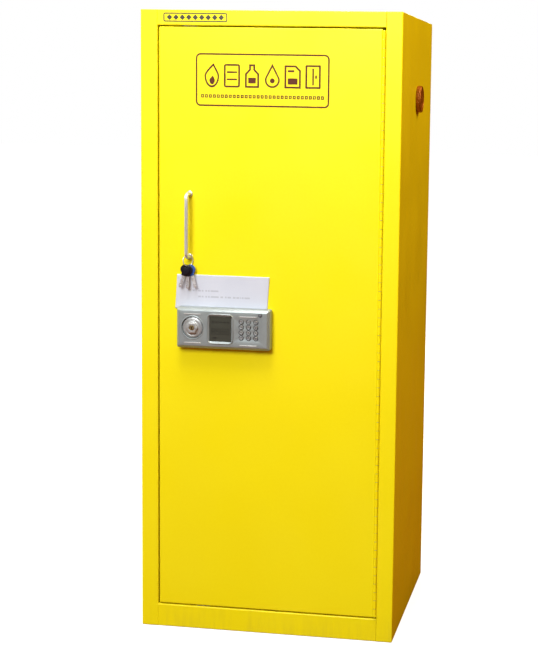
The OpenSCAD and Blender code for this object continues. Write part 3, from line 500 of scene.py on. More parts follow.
def piece(name, surfaces, material, body, stands_for=(), crease=32):
    """Puts surfaces into a mesh in metres, welds and orients it, and lets it ride on a body."""
    points, faces = joined(surfaces)
    mesh = bpy.data.meshes.new(name)
    mesh.from_pydata(points * MM, [], faces)
    work = bmesh.new()
    work.from_mesh(mesh)
    bmesh.ops.remove_doubles(work, verts=work.verts, dist=2e-6)
    bmesh.ops.recalc_face_normals(work, faces=work.faces)
    open_edges = sum(len(edge.link_faces) != 2 for edge in work.edges)
    work.to_mesh(mesh)
    work.free()
    mesh.shade_smooth()
    mesh.set_sharp_from_angle(angle=math.radians(crease))
    mesh.materials.append(material)
    made = bpy.data.objects.new(name, mesh)
    scene.collection.objects.link(made)
    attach(made, body)
    if stands_for:
        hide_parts(*stands_for)
    low, high = (np.array(made.bound_box).min(0) / MM, np.array(made.bound_box).max(0) / MM)
    print(f"{name}: {len(mesh.polygons)} faces, {open_edges} open edges, size {np.round(high - low, 1)}")
    return made


# %% [markdown]
# ## Outlines and plates
#
# Much of the lock, the keys and the signs is flat plate with a rounded edge. An outline is a closed
# loop of points in X and Z. Moving it inwards along the bisector of each corner, while the depth
# follows a quarter circle, rolls the edge over exactly as a moulded or stamped part's is.

# %% Loops and plates


def arc(x, z, radius, start, end, steps):
    """Points on a circle about (x, z), from one angle to another in degrees."""
    a = np.radians(np.linspace(start, end, steps))
    return np.stack([x + radius * np.cos(a), z + radius * np.sin(a)], 1)


def circle(x, z, radius, steps=48):
    """A whole circle as a loop."""
    return arc(x, z, radius, 0, 360, steps + 1)[:-1]


def rounded_box(x0, z0, x1, z1, radius, inset=0.0, steps=7):
    """A rectangle with a quarter circle at each corner; inset moves it inwards, arcs and all."""
    x0, z0, x1, z1 = x0 + inset, z0 + inset, x1 - inset, z1 - inset
    r = max(radius - inset, 0.3)
    return np.concatenate([
        arc(x1 - r, z1 - r, r, 0, 90, steps), arc(x0 + r, z1 - r, r, 90, 180, steps),
        arc(x0 + r, z0 + r, r, 180, 270, steps), arc(x1 - r, z0 + r, r, 270, 360, steps),
    ])


def area(loop):
    """Twice a loop's area, positive if it runs anticlockwise."""
    after = np.roll(loop, -1, 0)
    return (loop[:, 0] * after[:, 1] - after[:, 0] * loop[:, 1]).sum()


def inside(points, loops):
    """Whether each point lies inside: a line from it crosses the loops an odd number of times."""
    a, b = np.concatenate(loops), np.concatenate([np.roll(loop, -1, 0) for loop in loops])
    x, z = points[:, :1], points[:, 1:]
    with np.errstate(divide="ignore", invalid="ignore"):
        meets = a[:, 0] + (z - a[:, 1]) / (b[:, 1] - a[:, 1]) * (b[:, 0] - a[:, 0])
        crosses = ((a[:, 1] > z) != (b[:, 1] > z)) & (x < meets)
    return crosses.sum(1) % 2 == 1


def filled(loops, depth):
    """The flat area inside an odd number of loops, as triangles at one depth."""
    points = np.concatenate(loops)
    starts = np.cumsum([0] + [len(loop) for loop in loops])
    numbers = [np.arange(len(loop)) + start for loop, start in zip(loops, starts)]
    edges = np.concatenate([np.stack([row, np.roll(row, -1)], 1) for row in numbers])
    made = geometry.delaunay_2d_cdt([Vector(p) for p in points], edges.tolist(), [], 1, 1e-7)
    points, triangles = np.array([tuple(p) for p in made[0]]), np.array(made[2])
    triangles = triangles[inside(points[triangles].mean(1), loops)]
    return np.stack([points[:, 0], np.full(len(points), depth), points[:, 1]], 1), triangles.tolist()


def moved_in(loop, distance):
    """A loop moved to its left: each point goes along its corner's bisector, further at a sharp
    corner, so that straight edges stay parallel."""
    def left(v):
        v = v / np.maximum(np.linalg.norm(v, axis=1, keepdims=True), 1e-9)
        return np.stack([-v[:, 1], v[:, 0]], 1)

    a, b = left(loop - np.roll(loop, 1, 0)), left(np.roll(loop, -1, 0) - loop)
    bisector = (a + b) / np.maximum(np.linalg.norm(a + b, axis=1, keepdims=True), 1e-9)
    return loop + bisector * distance / np.maximum((bisector * a).sum(1, keepdims=True), 0.6)


def at_depth(loop, depth):
    """A loop in X and Z as points in space."""
    return np.stack([loop[:, 0], np.full(len(loop), depth), loop[:, 1]], 1)


def plate(loops, near, far, edge=0.0, far_edge=0.0, steps=4):
    """A flat plate between two depths. Loops inside an odd number of others are holes. Each edge is
    a quarter round: at angle a the loop lies edge * (1 - sin a) inside, edge * (1 - cos a) deep."""
    turned = []
    for loop in loops:
        others = [other for other in loops if other is not loop]
        hole = bool(others) and bool(inside(loop[:1], others)[0])
        turned.append(loop if (area(loop) > 0) != hole else loop[::-1])
    angles = np.linspace(0, np.pi / 2, steps + 1 if edge else 1)
    front_rows = [(edge * (1 - math.sin(a)), near + edge * (1 - math.cos(a))) for a in angles]
    angles = np.linspace(np.pi / 2, 0, steps + 1 if far_edge else 1)
    back_rows = [(far_edge * (1 - math.sin(a)), far - far_edge * (1 - math.cos(a))) for a in angles]
    rows = front_rows + back_rows
    skins = [bands(np.stack([at_depth(moved_in(loop, d), y) for d, y in rows])) for loop in turned]
    caps = [filled([moved_in(loop, d) for loop in turned], y) for d, y in (rows[0], rows[-1])]
    return joined(skins + caps)


# %% [markdown]
# ## Turned and swept shapes
#
# A knob, a cap or a button is turned: a profile of radius and depth goes round an axis. A bent rod
# is swept: a round section travels along a path. Both are grids of two parameters, and a wave on
# the radius adds the lobes of a grip or the ribs of a knurled rim at no cost.

# %% Lathe and sweep
ALONG_Y = (Vector((1, 0, 0)), Vector((0, 0, 1)), Vector((0, 1, 0)))
ALONG_X = (Vector((0, 1, 0)), Vector((0, 0, 1)), Vector((1, 0, 0)))
ALONG_MINUS_X = (Vector((0, 1, 0)), Vector((0, 0, 1)), Vector((-1, 0, 0)))


def lathe(profile, centre, axes=ALONG_Y, around=64, wave=None):
    """A profile of (radius, distance along the axis) turned round it: a point is
    centre + r cos(t) first + r sin(t) second + h axis. wave(r, h, t) gives the radius if set."""
    profile = np.array(profile, float)
    t = np.linspace(0, 2 * np.pi, around, endpoint=False)[None, :]
    r, h = profile[:, :1], profile[:, 1:]
    radius = np.broadcast_to(r if wave is None else wave(r, h, t), (len(profile), around))
    first, second, axis = (np.array(v) for v in axes)
    points = (radius * np.cos(t))[..., None] * first + (radius * np.sin(t))[..., None] * second
    return bands(points + h[..., None] * axis + np.array(centre))


def sweep(path, across, radii, section):
    """A section carried along a path. At each point its first direction is `across` and its
    second is at right angles to that and to the path; radii scales the section from point to
    point, and zero at both ends closes it."""
    path = np.array(path, float)
    ahead = np.gradient(path, axis=0)
    ahead /= np.linalg.norm(ahead, axis=1, keepdims=True)
    side = np.broadcast_to(np.array(across, float), path.shape)
    side = side - (side * ahead).sum(1, keepdims=True) * ahead
    side /= np.linalg.norm(side, axis=1, keepdims=True)
    up = np.cross(ahead, side)
    u, v = section[:, 0][None, :, None], section[:, 1][None, :, None]
    scale = np.array(radii, float)[:, None, None]
    return bands(path[:, None] + scale * (u * side[:, None] + v * up[:, None]))


# %% [markdown]
# ## The lock's housing
#
# A silver box about as long as a hand, screwed over the door's skin. Its edge is one broad, flat
# bevel that catches the light along the top, with small rolls where it meets the face and the
# sides. The knob sits in a shallow round well with a raised lip, the display behind a
# sloping frame, and each button in a hole of its own. Cutting those with booleans would leave
# ragged shading; instead the front is one plate with holes whose edges go on as rings into each
# well, and on to the inner wall, so that the housing is a true hollow moulding.

# %% Housing
lock_low, lock_high = box_mm("lock_housing")
face, back = lock_low[1], lock_high[1]
wall = 2.5
knob_x, knob_z = middle_xz("key_core")
window_low, window_high = box_mm("display_window")
lamp_x, lamp_z = middle_xz("status_lamp")
buttons = {n: middle_xz(f"button_{n}") for n in range(1, 13)}
keypad_x = np.mean([x for x, _ in buttons.values()])


def on_face(profile, x, z, around=32, wave=None):
    """A turned shape that stands on the lock's face at (x, z), its heights measured from the face."""
    return lathe([(r, face + h) for r, h in profile], (x, 0, z), around=around, wave=wave)


def housing_loop(inset):
    """The housing's outline, moved inwards."""
    return rounded_box(lock_low[0], lock_low[2], lock_high[0], lock_high[2], 5, inset)


def window_loop(grow):
    """The display's opening, grown outwards."""
    return rounded_box(window_low[0], window_low[2], window_high[0], window_high[2], 1.2 + grow, -grow)


bevel = [(2.5, back - 0.4), (0.4, back), (0, back - 0.4), (0, face + 7.6), (0.3, face + 6.6),
         (0.8, face + 5.9), (5.6, face + 0.9), (6.5, face + 0.2), (7.6, face)]
inner_rim = [(9.5, face + wall), (5.0, face + wall + 0.8), (2.5, face + wall + 2)]
shell_rings = bands(np.stack([at_depth(housing_loop(d), y) for d, y in inner_rim + bevel]))
well = [(27.8, 0), (27.4, -0.5), (26.6, -0.8), (25.8, -0.7), (25.2, -0.1), (24.9, 1), (24.3, 3), (24.2, 5),
        (4.5, 5), (4.5, 7.5), (27, 7.5), (27, wall)]
frame_rows = [(4.4, 0), (4.3, 0.3), (0.7, 1.9), (0, 2.2), (0, wall)]
hole_rows = [(5.15, 0), (4.9, 0.1), (4.8, 0.4), (4.8, wall)]
knob_well = on_face(well, knob_x, knob_z, 96)
window_well = bands(np.stack([at_depth(window_loop(g), face + h) for g, h in frame_rows]))
button_wells = [on_face(hole_rows, x, z, 24) for x, z in buttons.values()]
lamp_well = on_face([(2.3, 0), (2.05, 0.3), (2.05, wall)], lamp_x, lamp_z, 24)


def housing_wall(depth, outline_inset, knob_r, grow, button_r, lamp_r):
    """The front or the inside of the housing's face: an outline with all the openings in it."""
    holes = [circle(knob_x, knob_z, knob_r, 96), window_loop(grow), circle(lamp_x, lamp_z, lamp_r, 24)]
    holes += [circle(x, z, button_r, 24) for x, z in buttons.values()]
    return filled([housing_loop(outline_inset)] + holes, depth)


outer_face = housing_wall(face, 7.6, 27.8, 4.4, 5.15, 2.3)
inner_face = housing_wall(face + wall, 9.5, 27, 0, 4.8, 2.05)
piece("lock_case", [shell_rings, outer_face, inner_face, knob_well, window_well, lamp_well] + button_wells,
      silver, "door", ["lock_housing"])

# %% [markdown]
# The housing carries four slim raised bars, above and below the knob and the keypad. They are
# paler than the case, so they are pieces of their own.

# %% Raised bars, display, lamp
bar_places = [(knob_x, knob_z + 31.5), (knob_x, knob_z - 35),
              (keypad_x - 1, knob_z + 29), (keypad_x - 1, knob_z - 37)]
bar_loops = [rounded_box(x - 20, z - 1.3, x + 20, z + 1.3, 1.2, steps=5) for x, z in bar_places]
raised = [plate([loop], face - 0.7, face + 0.3, 0.5) for loop in bar_loops]
piece("lock_bars", raised, pale_silver, "door")
piece("display_pane", [plate([window_loop(-0.1)], face + 1.1, face + wall - 0.1, 0.35)], glass, "door",
      ["display_window"])
bezel_rows = [(4.0, 0.2), (6.4, 0.2), (6.2, -0.3), (5.0, -1.5), (4.4, -1.7),
              (3.9, -1.5), (0.3, 1.0), (0.2, 1.3), (0.6, 1.6), (4.0, 0.2)]
bezel = bands(np.stack([at_depth(window_loop(grow), face + h) for grow, h in bezel_rows]))
piece("display_bezel", [bezel], silver, "door")
lamp_profile = [(0, -1.1), (1.2, -1.0), (2.3, -0.6), (3.0, 0.05), (3.1, 0.1), (3.1, 0.3),
                (1.9, 0.3), (1.9, wall), (0, wall)]
piece("lamp_dome", [on_face(lamp_profile, lamp_x, lamp_z, 40)], lens, "door", ["status_lamp"])
ring_profile = [(3.2, 0.1), (3.25, -0.6), (3.7, -0.9), (4.3, -0.6), (4.6, 0.1), (3.2, 0.1)]
piece("lamp_ring", [on_face(ring_profile, lamp_x, lamp_z, 40)], rubber_and_shade, "door")

# %% [markdown]
# The display is a numeric one. A digit has seven bars with pointed ends, and every bar is the same
# six-cornered loop, lying or standing.

# %% Display digits


def segment(x, z, half, thick, standing):
    """A bar with pointed ends about (x, z)."""
    waist = half - thick
    loop = np.array([(-half, 0), (-waist, -thick), (waist, -thick), (half, 0), (waist, thick), (-waist, thick)])
    return (loop[:, ::-1] if standing else loop) + (x, z)


def digit_bars(x, z, width=7.6, height=13.0, thick=0.75):
    """The seven bars of a digit whose middle is (x, z)."""
    gap = 0.35
    lying = [segment(x, z + k * height / 2, width / 2 - gap, thick, False) for k in (-1, 0, 1)]
    corners = [(x + i * width / 2, z + k * height / 4) for i in (-1, 1) for k in (-1, 1)]
    return lying + [segment(*corner, height / 4 - gap, thick, True) for corner in corners]


display_x, display_z = middle_xz("display_window")
bars = [bar for i in (-1.5, -0.5, 0.5, 1.5) for bar in digit_bars(display_x + i * 11, display_z - 6)]
signs = [(i * 9 - 20, 14, i * 9 - 14.5, 17) for i in range(5)] + [(-18, -23, -9, -19)]
bars += [rounded_box(display_x + x0, display_z + z0, display_x + x1, display_z + z1, 0.8, steps=3)
         for x0, z0, x1, z1 in signs]
printed_bars = [plate([bar], face + 1.05, face + 1.15) for bar in bars]
piece("display_digits", printed_bars, segment_ink, "door")

# %% [markdown]
# ## The keypad
#
# Twelve metal buttons with dished tops stand in dark collars; the collars are painted shade, a dark ring where
# the gap round each button falls in shade. The dish gives each button one bright and one dark side. A digit is
# set from the built-in font, turned into a mesh and laid on the button; its place goes into the mesh, so that
# the object itself stays at the origin.

# %% Buttons
# Painted shade: a dark collar round each button stands for the gap in shade around it.
collar = [(4.95, 0.2), (4.95, -0.25), (5.2, -0.45), (5.6, -0.45), (6.0, -0.1), (6.0, 0.2), (4.95, 0.2)]
piece("keypad_shade_collars", [on_face(collar, x, z) for x, z in buttons.values()], rubber_and_shade, "door")
dished = [(0, -1.35), (1.4, -1.42), (2.6, -1.62), (3.4, -1.8), (3.95, -1.7), (4.3, -1.3),
          (4.45, -0.7), (4.5, 0), (4.5, 3.4), (0, 3.4)]
for n, (x, z) in buttons.items():
    piece(f"button_cap_{n}", [on_face(dished, x, z)], button_metal, f"button_{n}_cap",
          [f"button_{n}"])


def printed(name, text, x, z, depth, height, material, body):
    """A character as a thin mesh that stands in the plane of X and Z, centred on (x, z)."""
    curve = bpy.data.curves.new(name, "FONT")
    curve.body, curve.size, curve.extrude = text, height * MM, 0.06 * MM
    curve.align_x, curve.align_y = "CENTER", "CENTER"
    source = bpy.data.objects.new(name + "_source", curve)
    scene.collection.objects.link(source)
    mesh = bpy.data.meshes.new_from_object(source.evaluated_get(bpy.context.evaluated_depsgraph_get()))
    bpy.data.objects.remove(source)
    mesh.transform(Matrix.Translation(Vector((x, depth, z)) * MM) @ Matrix.Rotation(math.pi / 2, 4, "X"))
    mesh.name = name
    mesh.materials.clear()
    mesh.materials.append(material)
    made = bpy.data.objects.new(name, mesh)
    scene.collection.objects.link(made)
    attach(made, body)
    return made


MARK_DEPTH, MARK_SIZE = -1.62, 5.2
for n, mark in enumerate("123456789*0#", 1):
    x, z = buttons[n]
    printed(f"button_mark_{n}", mark, x, z, face + MARK_DEPTH, MARK_SIZE, digit_ink,
            f"button_{n}_cap")

# %% [markdown]
# ## The knob and its key cylinder
#
# The knob is turned from one profile: a flat disc with a chamfered rim, a shallow ring groove and
# a raised grip. Six lobes come from a cosine of six times the angle, and only where the profile
# belongs to the grip. The cylinder's core is a plate with a keyhole, like any other plate.

# %% Knob and core


def lobes(r, h, t):
    """Adds up to 2 mm to the radius on the grip, in six rounded lobes, and nothing elsewhere."""
    on_grip = np.clip((face - 0.9 - h) / 1.2, 0, 1) * np.clip((r - 9.5) / 1.5, 0, 1)
    return r + on_grip * 2.0 * (0.5 + 0.5 * np.cos(6 * t)) ** 1.3


disc_rows = [(0, 4.4), (22.9, 4.4), (23.3, 4.0), (23.4, 3.2), (23.1, 2.5), (20.2, 1.2), (19.6, 1.05),
             (18.6, 1.1), (18.0, 1.5), (17.2, 1.5), (16.6, 1.0), (15.4, 0.9), (14.0, 0.8), (12.6, 0.2)]
grip_rows = [(12.1, -0.8), (11.9, -2.4), (11.8, -4.6), (11.4, -5.4), (10.6, -5.8), (9.4, -6),
             (7.2, -6), (6.5, -5.8), (6.1, -5.3), (6.1, 0.9), (0, 0.9)]
knob = on_face(disc_rows + grip_rows, knob_x, knob_z, 144, lobes)
piece("knob_disc", [knob], knob_metal, "knob", ["turn_knob"])
hole_half, hole_r, core_r = 2.6, 0.9, 5.95
keyhole = np.concatenate([arc(knob_x, knob_z + hole_half, hole_r, 0, 180, 7),
                          arc(knob_x, knob_z - hole_half, hole_r, 180, 360, 7)])
core = plate([circle(knob_x, knob_z, core_r), keyhole], face - 6.5, face + 0.8, 0.45)
piece("cylinder_core", [core], brass, "core", ["key_core"])

# %% [markdown]
# ## The pull handle
#
# One polished rod, bent at both ends and screwed on from inside. Its path runs out from the door,
# round a quarter circle, up, and back. The section swells into a collar at each foot, with a small
# hollow fillet between the two, all through one array of radii.

# %% Handle
handle_low, handle_high = box_mm("pull_handle")
rod_r, bend = 4.25, 11.0
handle_x = (handle_low[0] + handle_high[0]) / 2
bar_y = handle_low[1] + rod_r
collar_r = (handle_high[0] - handle_low[0]) / 2
leg_z = (handle_low[2] + collar_r, handle_high[2] - collar_r)
foot_steps = np.array([0, 0, 0.6, 2.0, 2.5, 3.0, 3.8, 5.0, 10.0])
foot_radii = np.array([0, 0.93, 1, 1, 0.96, 0.76, 0.67, rod_r / collar_r, rod_r / collar_r])
quarter = np.radians(np.linspace(0, 90, 14))
lower_leg = np.stack([front - foot_steps, np.full(9, leg_z[0])], 1)
lower_bend = np.stack([bar_y + bend * (1 - np.sin(quarter)), leg_z[0] + bend * (1 - np.cos(quarter))], 1)
lower = np.concatenate([lower_leg, lower_bend])
upper = lower[::-1] * (1, -1) + (0, leg_z[0] + leg_z[1])
handle_path = np.concatenate([lower, upper])
handle_path = np.insert(handle_path, 0, handle_x, axis=1)
handle_path[0, 1] += 0.001
handle_path[-1, 1] += 0.001
radii = np.concatenate([foot_radii, np.full(14, rod_r / collar_r)])
handle = sweep(handle_path, (1, 0, 0), collar_r * np.concatenate([radii, radii[::-1]]), circle(0, 0, 1, 32))
piece("pull_handle_rod", [handle], chrome, "door", ["pull_handle"])

# %% [markdown]
# ## The keys on their ring
#
# A split ring is a flat wire wound round twice, so its path is a circle that also climbs by one
# wire's thickness. Three keys hang from the ring's foot, a few millimetres apart along the wire and
# fanned out by their own thickness. Each blade is a stamped plate with V cuts along one side and a
# milled groove; each head is plastic, moulded round the blade.

# %% Key ring
ring_low, ring_high = box_mm("key_ring")
ring_centre = (ring_low + ring_high) / 2
ring_outer = (ring_high[2] - ring_low[2]) / 2
wire = 1.8
ring_r = ring_outer - wire / 2
hang_turn = math.radians(50)
to_ring = Matrix.Translation(ring_centre) @ Matrix.Rotation(hang_turn, 4, "Z")
winding = np.linspace(0, 4 * np.pi - 0.25, 220)
climb = 0.43 * np.tanh((winding - 2 * np.pi) * 1.6)
ring_path = np.stack([ring_r * np.sin(winding), climb, ring_r * np.cos(winding)], 1)
ends = np.clip(np.minimum(winding, winding[-1] - winding) / 0.03, 0, 1) ** 0.5
ring_section = rounded_box(-0.4, -0.85, 0.4, 0.85, 0.35, steps=4)
piece("split_ring", [placed(sweep(ring_path, (0, 1, 0), ends, ring_section), to_ring)], chrome, "key_bunch",
      ["key_ring"])

# %% Keys
blade_w, blade_end, shoulder = 7.2, -53.0, -15.0
KEY_PITCH, KEY_TURN, KEY_FAN = 4.4, -8, (19, 2, -16)


def cut_side(depths, pitch=4.6, first=-19.5):
    """The left edge of a blade, from the shoulder down: a V for each cut, flat between them."""
    edge, flat = -blade_w / 2, 0.4
    points = [(edge, shoulder)]
    for i, depth in enumerate(depths):
        z = first - i * pitch
        points += [(edge, z + flat + depth), (edge + depth, z + flat),
                   (edge + depth, z - flat), (edge, z - flat - depth)]
    return points


def key_blade(depths):
    """A blade with its cuts, a blunt point and a milled groove over a thinner web."""
    half = blade_w / 2
    tip = [(-half, blade_end + 4), (-0.8, blade_end), (0.8, blade_end), (half, blade_end + 3), (half, shoulder)]
    outline = np.array(cut_side(depths) + tip, float)
    groove = rounded_box(0.5, blade_end + 7, 1.9, shoulder - 1.5, 0.6, steps=4)
    web = rounded_box(0.3, blade_end + 6.8, 2.1, shoulder - 1.3, 0.6, steps=4)
    return joined([plate([outline, groove], -1, 1, 0.18, 0.18, 2), plate([web], -0.35, 0.35)])


def key_head():
    """A round bow with a straight neck and a hole for the ring, soft on every edge."""
    bow = arc(0, -9, 11.5, -62, 242, 56)
    neck = np.array([(-5.4, -20.6), (-5.0, -23.2), (-4.2, -24), (4.2, -24), (5.0, -23.2), (5.4, -20.6)])
    return plate([np.concatenate([bow, neck]), circle(0, -2.0, 3.2, 32)], -1.4, 1.4, 0.45, 0.45, 3)


def key_place(i):
    """Where key i hangs: along the wire, down to it, turned to face the front, and fanned out."""
    along = (i - 1) * KEY_PITCH
    drop = -math.sqrt(ring_r ** 2 - along ** 2)
    to_front = Matrix.Rotation(math.radians(KEY_TURN) - hang_turn, 4, "Z")
    fan = Matrix.Rotation(math.radians(KEY_FAN[i]), 4, "Y")
    return to_ring @ Matrix.Translation((along, 0, drop)) @ to_front @ fan


key_cuts = ((1.5, 0.9, 1.9, 1.2, 1.6, 0.8), (0.9, 1.7, 1.3, 1.9, 0.8, 1.4), (1.8, 1.1, 1.4, 0.8, 1.7, 1.2))
blades = [placed(key_blade(cuts), key_place(i)) for i, cuts in enumerate(key_cuts)]
piece("key_blades", blades, nickel, "key_bunch", ["keys"])
heads = [placed(key_head(), key_place(i)) for i in range(3)]
piece("key_heads_black", heads[:2], key_black, "key_bunch", ["key_heads"])
piece("key_head_blue", heads[2:], key_blue, "key_bunch", ["key_heads"])

# %% [markdown]
# ## The paper card
#
# A leaf of paper is tucked behind the top edge of the lock. Paper bends one way at a time, so its
# depth is the sum of a curl that grows towards the free top edge and a slower wave along it. The
# Solidify modifier gives the grid its thickness.

# %% Card
card_low, card_high = box_mm("instruction_card")
across, rows = 60, 30
u, v = np.meshgrid(np.linspace(0, 1, across), np.linspace(0, 1, rows))
curl = 1.8 * v ** 2.2 * (0.75 + 0.25 * np.cos(2.2 * np.pi * u))
card_points = np.stack([
    card_low[0] + (card_high[0] - card_low[0]) * u + 5.0 * (v - 0.45),
    front - 0.75 - curl,
    card_low[2] + (card_high[2] - card_low[2]) * v,
], -1).reshape(-1, 3)
i, j = np.meshgrid(np.arange(rows - 1), np.arange(across - 1), indexing="ij")
corner = (i * across + j).ravel()
card_faces = np.stack([corner, corner + 1, corner + across + 1, corner + across], 1)
card_mesh = bpy.data.meshes.new("paper_card")
card_mesh.from_pydata(card_points * MM, [], card_faces.tolist())
card_mesh.shade_smooth()
card_mesh.materials.append(paper)
card = bpy.data.objects.new("paper_card", card_mesh)
scene.collection.objects.link(card)
thickness = card.modifiers.new("thickness", "SOLIDIFY")
thickness.thickness, thickness.offset = 0.16 * MM, 0
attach(card, "door")
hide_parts("instruction_card")
card_size = card_high - card_low
print(f"card: {card_size[0]:.0f} by {card_size[2]:.0f} mm, curling out by {curl.max():.1f} mm")

# %% [markdown]
# ## Vent caps and the grounding stud
#
# Each cap screws onto its vent tube: a knurled rim, a dished face and a square for a wrench. The
# knurl is a wave on the radius with 44 ribs, faded out over the rim's rounded ends.
# The stud's thread is a wave too, one that shifts by a whole pitch as it goes round, which is what
# makes a thread a helix and not a row of rings.

# %% Vent caps


def knurl(r, h, t):
    """Rounded ribs, 0.8 mm deep, where the profile is at its widest."""
    return r - 0.8 * (0.5 - 0.5 * np.cos(RIBS * t)) * np.clip((r - 29.6) / 1.2, 0, 1)


RIBS, POINTS_ON_A_RIB = 44, 8
cap_depth = 12
cap_profile = [(0, 9), (27.2, 9), (27.2, 0.3), (30.4, 0.3), (31.3, 0.9), (31.5, 1.8), (31.5, 10.0),
               (31.2, 10.9), (30.4, 11.7), (29.4, cap_depth), (27.4, cap_depth), (26.6, 11.7),
               (26.1, 10.9), (25.4, 10.5), (0, 10.5)]
drive = plate([rounded_box(-8, -8, 8, 8, 1.5, steps=5)], 0, 1.9, 0.6)
for side, axes, body in (("right", ALONG_X, "right_cap"), ("left", ALONG_MINUS_X, "left_cap")):
    low, high = box_mm(f"{side}_vent_cap")
    wall_x = shell_high[0] if side == "right" else shell_low[0]
    outwards = axes[2][0]
    centre = (wall_x, (low[1] + high[1]) / 2, (low[2] + high[2]) / 2)
    outside = Matrix.Translation((wall_x + outwards * cap_depth, centre[1], centre[2]))
    square = placed(drive, outside @ Matrix.Rotation(outwards * math.pi / 2, 4, "Z"))
    rim = lathe(cap_profile, centre, axes, RIBS * POINTS_ON_A_RIB, knurl)
    piece(f"{side}_cap_knurled", [rim, square], cap_colour, body, [f"{side}_vent_cap"])

# %% Grounding stud
stud_low, stud_high = box_mm("grounding_stud")
stud_centre = (shell_low[0], (stud_low[1] + stud_high[1]) / 2, (stud_low[2] + stud_high[2]) / 2)
thread_pitch = 1.25


def thread(r, h, t):
    """The radius falls by up to 0.4 mm on a helix, only where the stud is a plain rod."""
    on_rod = (r > 3) & (r < 4.3)
    groove = 0.5 - 0.5 * np.cos(2 * np.pi * h / thread_pitch - t)
    return r - 0.4 * on_rod * groove * np.clip((17.4 - h) / 0.6, 0, 1)


rod_rows = [(4, h) for h in np.arange(7.2, 17.41, 0.16)]
stud_rod = lathe([(0, 6.8), (4, 6.8)] + rod_rows + [(3.3, 18), (0, 18)], stud_centre, ALONG_MINUS_X, 36, thread)
washer = lathe([(0, 0), (9.7, 0), (10, 0.3), (10, 1.2), (9.7, 1.5), (0, 1.5)], stud_centre, ALONG_MINUS_X, 48)


def hexagon(r, h, t):
    """A hexagon, cut back to a circle where the chamfer's own radius is smaller."""
    flats = 7.3 / np.cos((t + np.pi / 6) % (np.pi / 3) - np.pi / 6)
    return np.minimum(r, flats)


nut_profile = [(0, 1.5), (7.6, 1.5), (8.5, 2.0), (8.5, 7.0), (7.6, 7.5), (0, 7.5)]
nut = lathe(nut_profile, stud_centre, ALONG_MINUS_X, 72, hexagon)
inner = lathe([(0, -5), (7.4, -5), (7.8, -4.6), (7.8, -1.3), (0, -1.3)], stud_centre, ALONG_MINUS_X, 48, hexagon)
neck = lathe([(0, -4.8), (4.9, -4.8), (4.9, 1.0), (0, 1.0)], stud_centre, ALONG_MINUS_X, 36)
piece("stud_with_nut", [stud_rod, washer, nut, inner, neck], stud_metal, "cabinet",
      ["grounding_stud"])

# %% [markdown]
# ## The printed sign
#
# A rounded frame with a row of six plain pictograms, and a ruled line below. Screen print is ink
# a tenth of a millimetre high: a plate that thin shows as a crisp mark and still has a real edge.
# A stroke is what lies between an outline and a smaller one inside it: the same loop moved inwards,
# or for the flame and the drop, whose sharp tips would cross over, a smaller copy.

# %% Pictograms
STROKE = 3.2
ICON_SIZE = 1.24


def stroke(loop, width=STROKE):
    """The band between an outline and the same outline moved inwards."""
    loop = np.array(loop, float)
    loop = loop if area(loop) > 0 else loop[::-1]
    return [loop, moved_in(loop, width)]


def flame_loop(size):
    """A flame: its width falls off towards the top, and the tip leans to one side."""
    t = np.linspace(0, 2 * np.pi, 40, endpoint=False)
    height = -np.cos(t)
    taper = np.where(height > 0, 1 - 0.75 * height ** 1.4, 1.0)
    sideways = 0.62 * np.sin(t) * taper + 0.14 * np.clip(height, 0, 1) ** 2
    return np.stack([size * sideways, size * height * 0.98], 1)


def drop_loop(size):
    """A drop: a circle below, drawn out to a point above."""
    return np.concatenate([[(0, size * 1.02)], arc(0, -0.32 * size, 0.62 * size, 148, 392, 30)])


def sign_icons():
    """Six pictograms, each about 42 mm high, around their own middle."""
    flame = [flame_loop(22), flame_loop(17.6) - (0, 0.6), flame_loop(8) + (0.6, -8)]
    drum = [rounded_box(-15, -21, 15, 21, 4, inset) for inset in (0, STROKE)]
    drum += [rounded_box(-9.5, z - 1.4, 9.5, z + 1.4, 1, steps=3) for z in (-6.5, 6.5)]
    bottle = stroke([(-13, -21), (13, -21), (13, 4), (5.5, 12), (5.5, 21), (-5.5, 21), (-5.5, 12), (-13, 4)])
    bottle += [rounded_box(-7, -13, 7, -3, 1, steps=3)]
    drop = [drop_loop(22), drop_loop(17.4) - (0, 1.2), circle(0, -8, 4.4, 24)]
    can = stroke([(-15, -21), (15, -21), (15, 11), (6, 20), (-15, 20)])
    can += [rounded_box(-9, 8, 3, 11.6, 1, steps=3), rounded_box(-9, -14, 9, -3, 1, steps=3)]
    safe = [rounded_box(-14, -21, 14, 21, 1.5, inset) for inset in (0, STROKE)]
    safe += [rounded_box(-1.4, -15, 1.4, 15, 1, steps=3), rounded_box(4, -3, 7, 3, 1, steps=3)]
    return [flame, drum, bottle, drop, can, safe]


sign_x, sign_z = -17.0, 1285.0
sign_w, sign_h, row_z = 307.0, 118.0, 1294.5
ink = 0.12
sign_corner, border_line = 11, 3.4
left, right, bottom, top = sign_x - sign_w / 2, sign_x + sign_w / 2, sign_z - sign_h / 2, sign_z + sign_h / 2
border = [rounded_box(left, bottom, right, top, sign_corner, inset) for inset in (0, border_line)]
icon_pitch = 46.5
marks = [plate(border, front - ink, front)]
for i, icon in enumerate(sign_icons()):
    middle = (sign_x + (i - 2.5) * icon_pitch, row_z)
    marks.append(plate([loop * ICON_SIZE + middle for loop in icon], front - ink, front))
rule_left, rule_right, rule_z = sign_x - 141, sign_x + 146, 1248.5
dash_boxes = [(x, rule_z - 3.6, x + 6.4, rule_z + 3.8) for x in np.arange(rule_left, rule_right - 5, 9.2)]
dashes = [[rounded_box(*box, 0.6, inset, steps=2) for inset in (0, 2.1)] for box in dash_boxes]
marks += [plate(dash, front - ink, front) for dash in dashes]
piece("door_sign", marks, sign_print, "door")

# %% [markdown]
# The top rail has a small plain badge: an upright frame with a row of diamonds, and nothing to read.

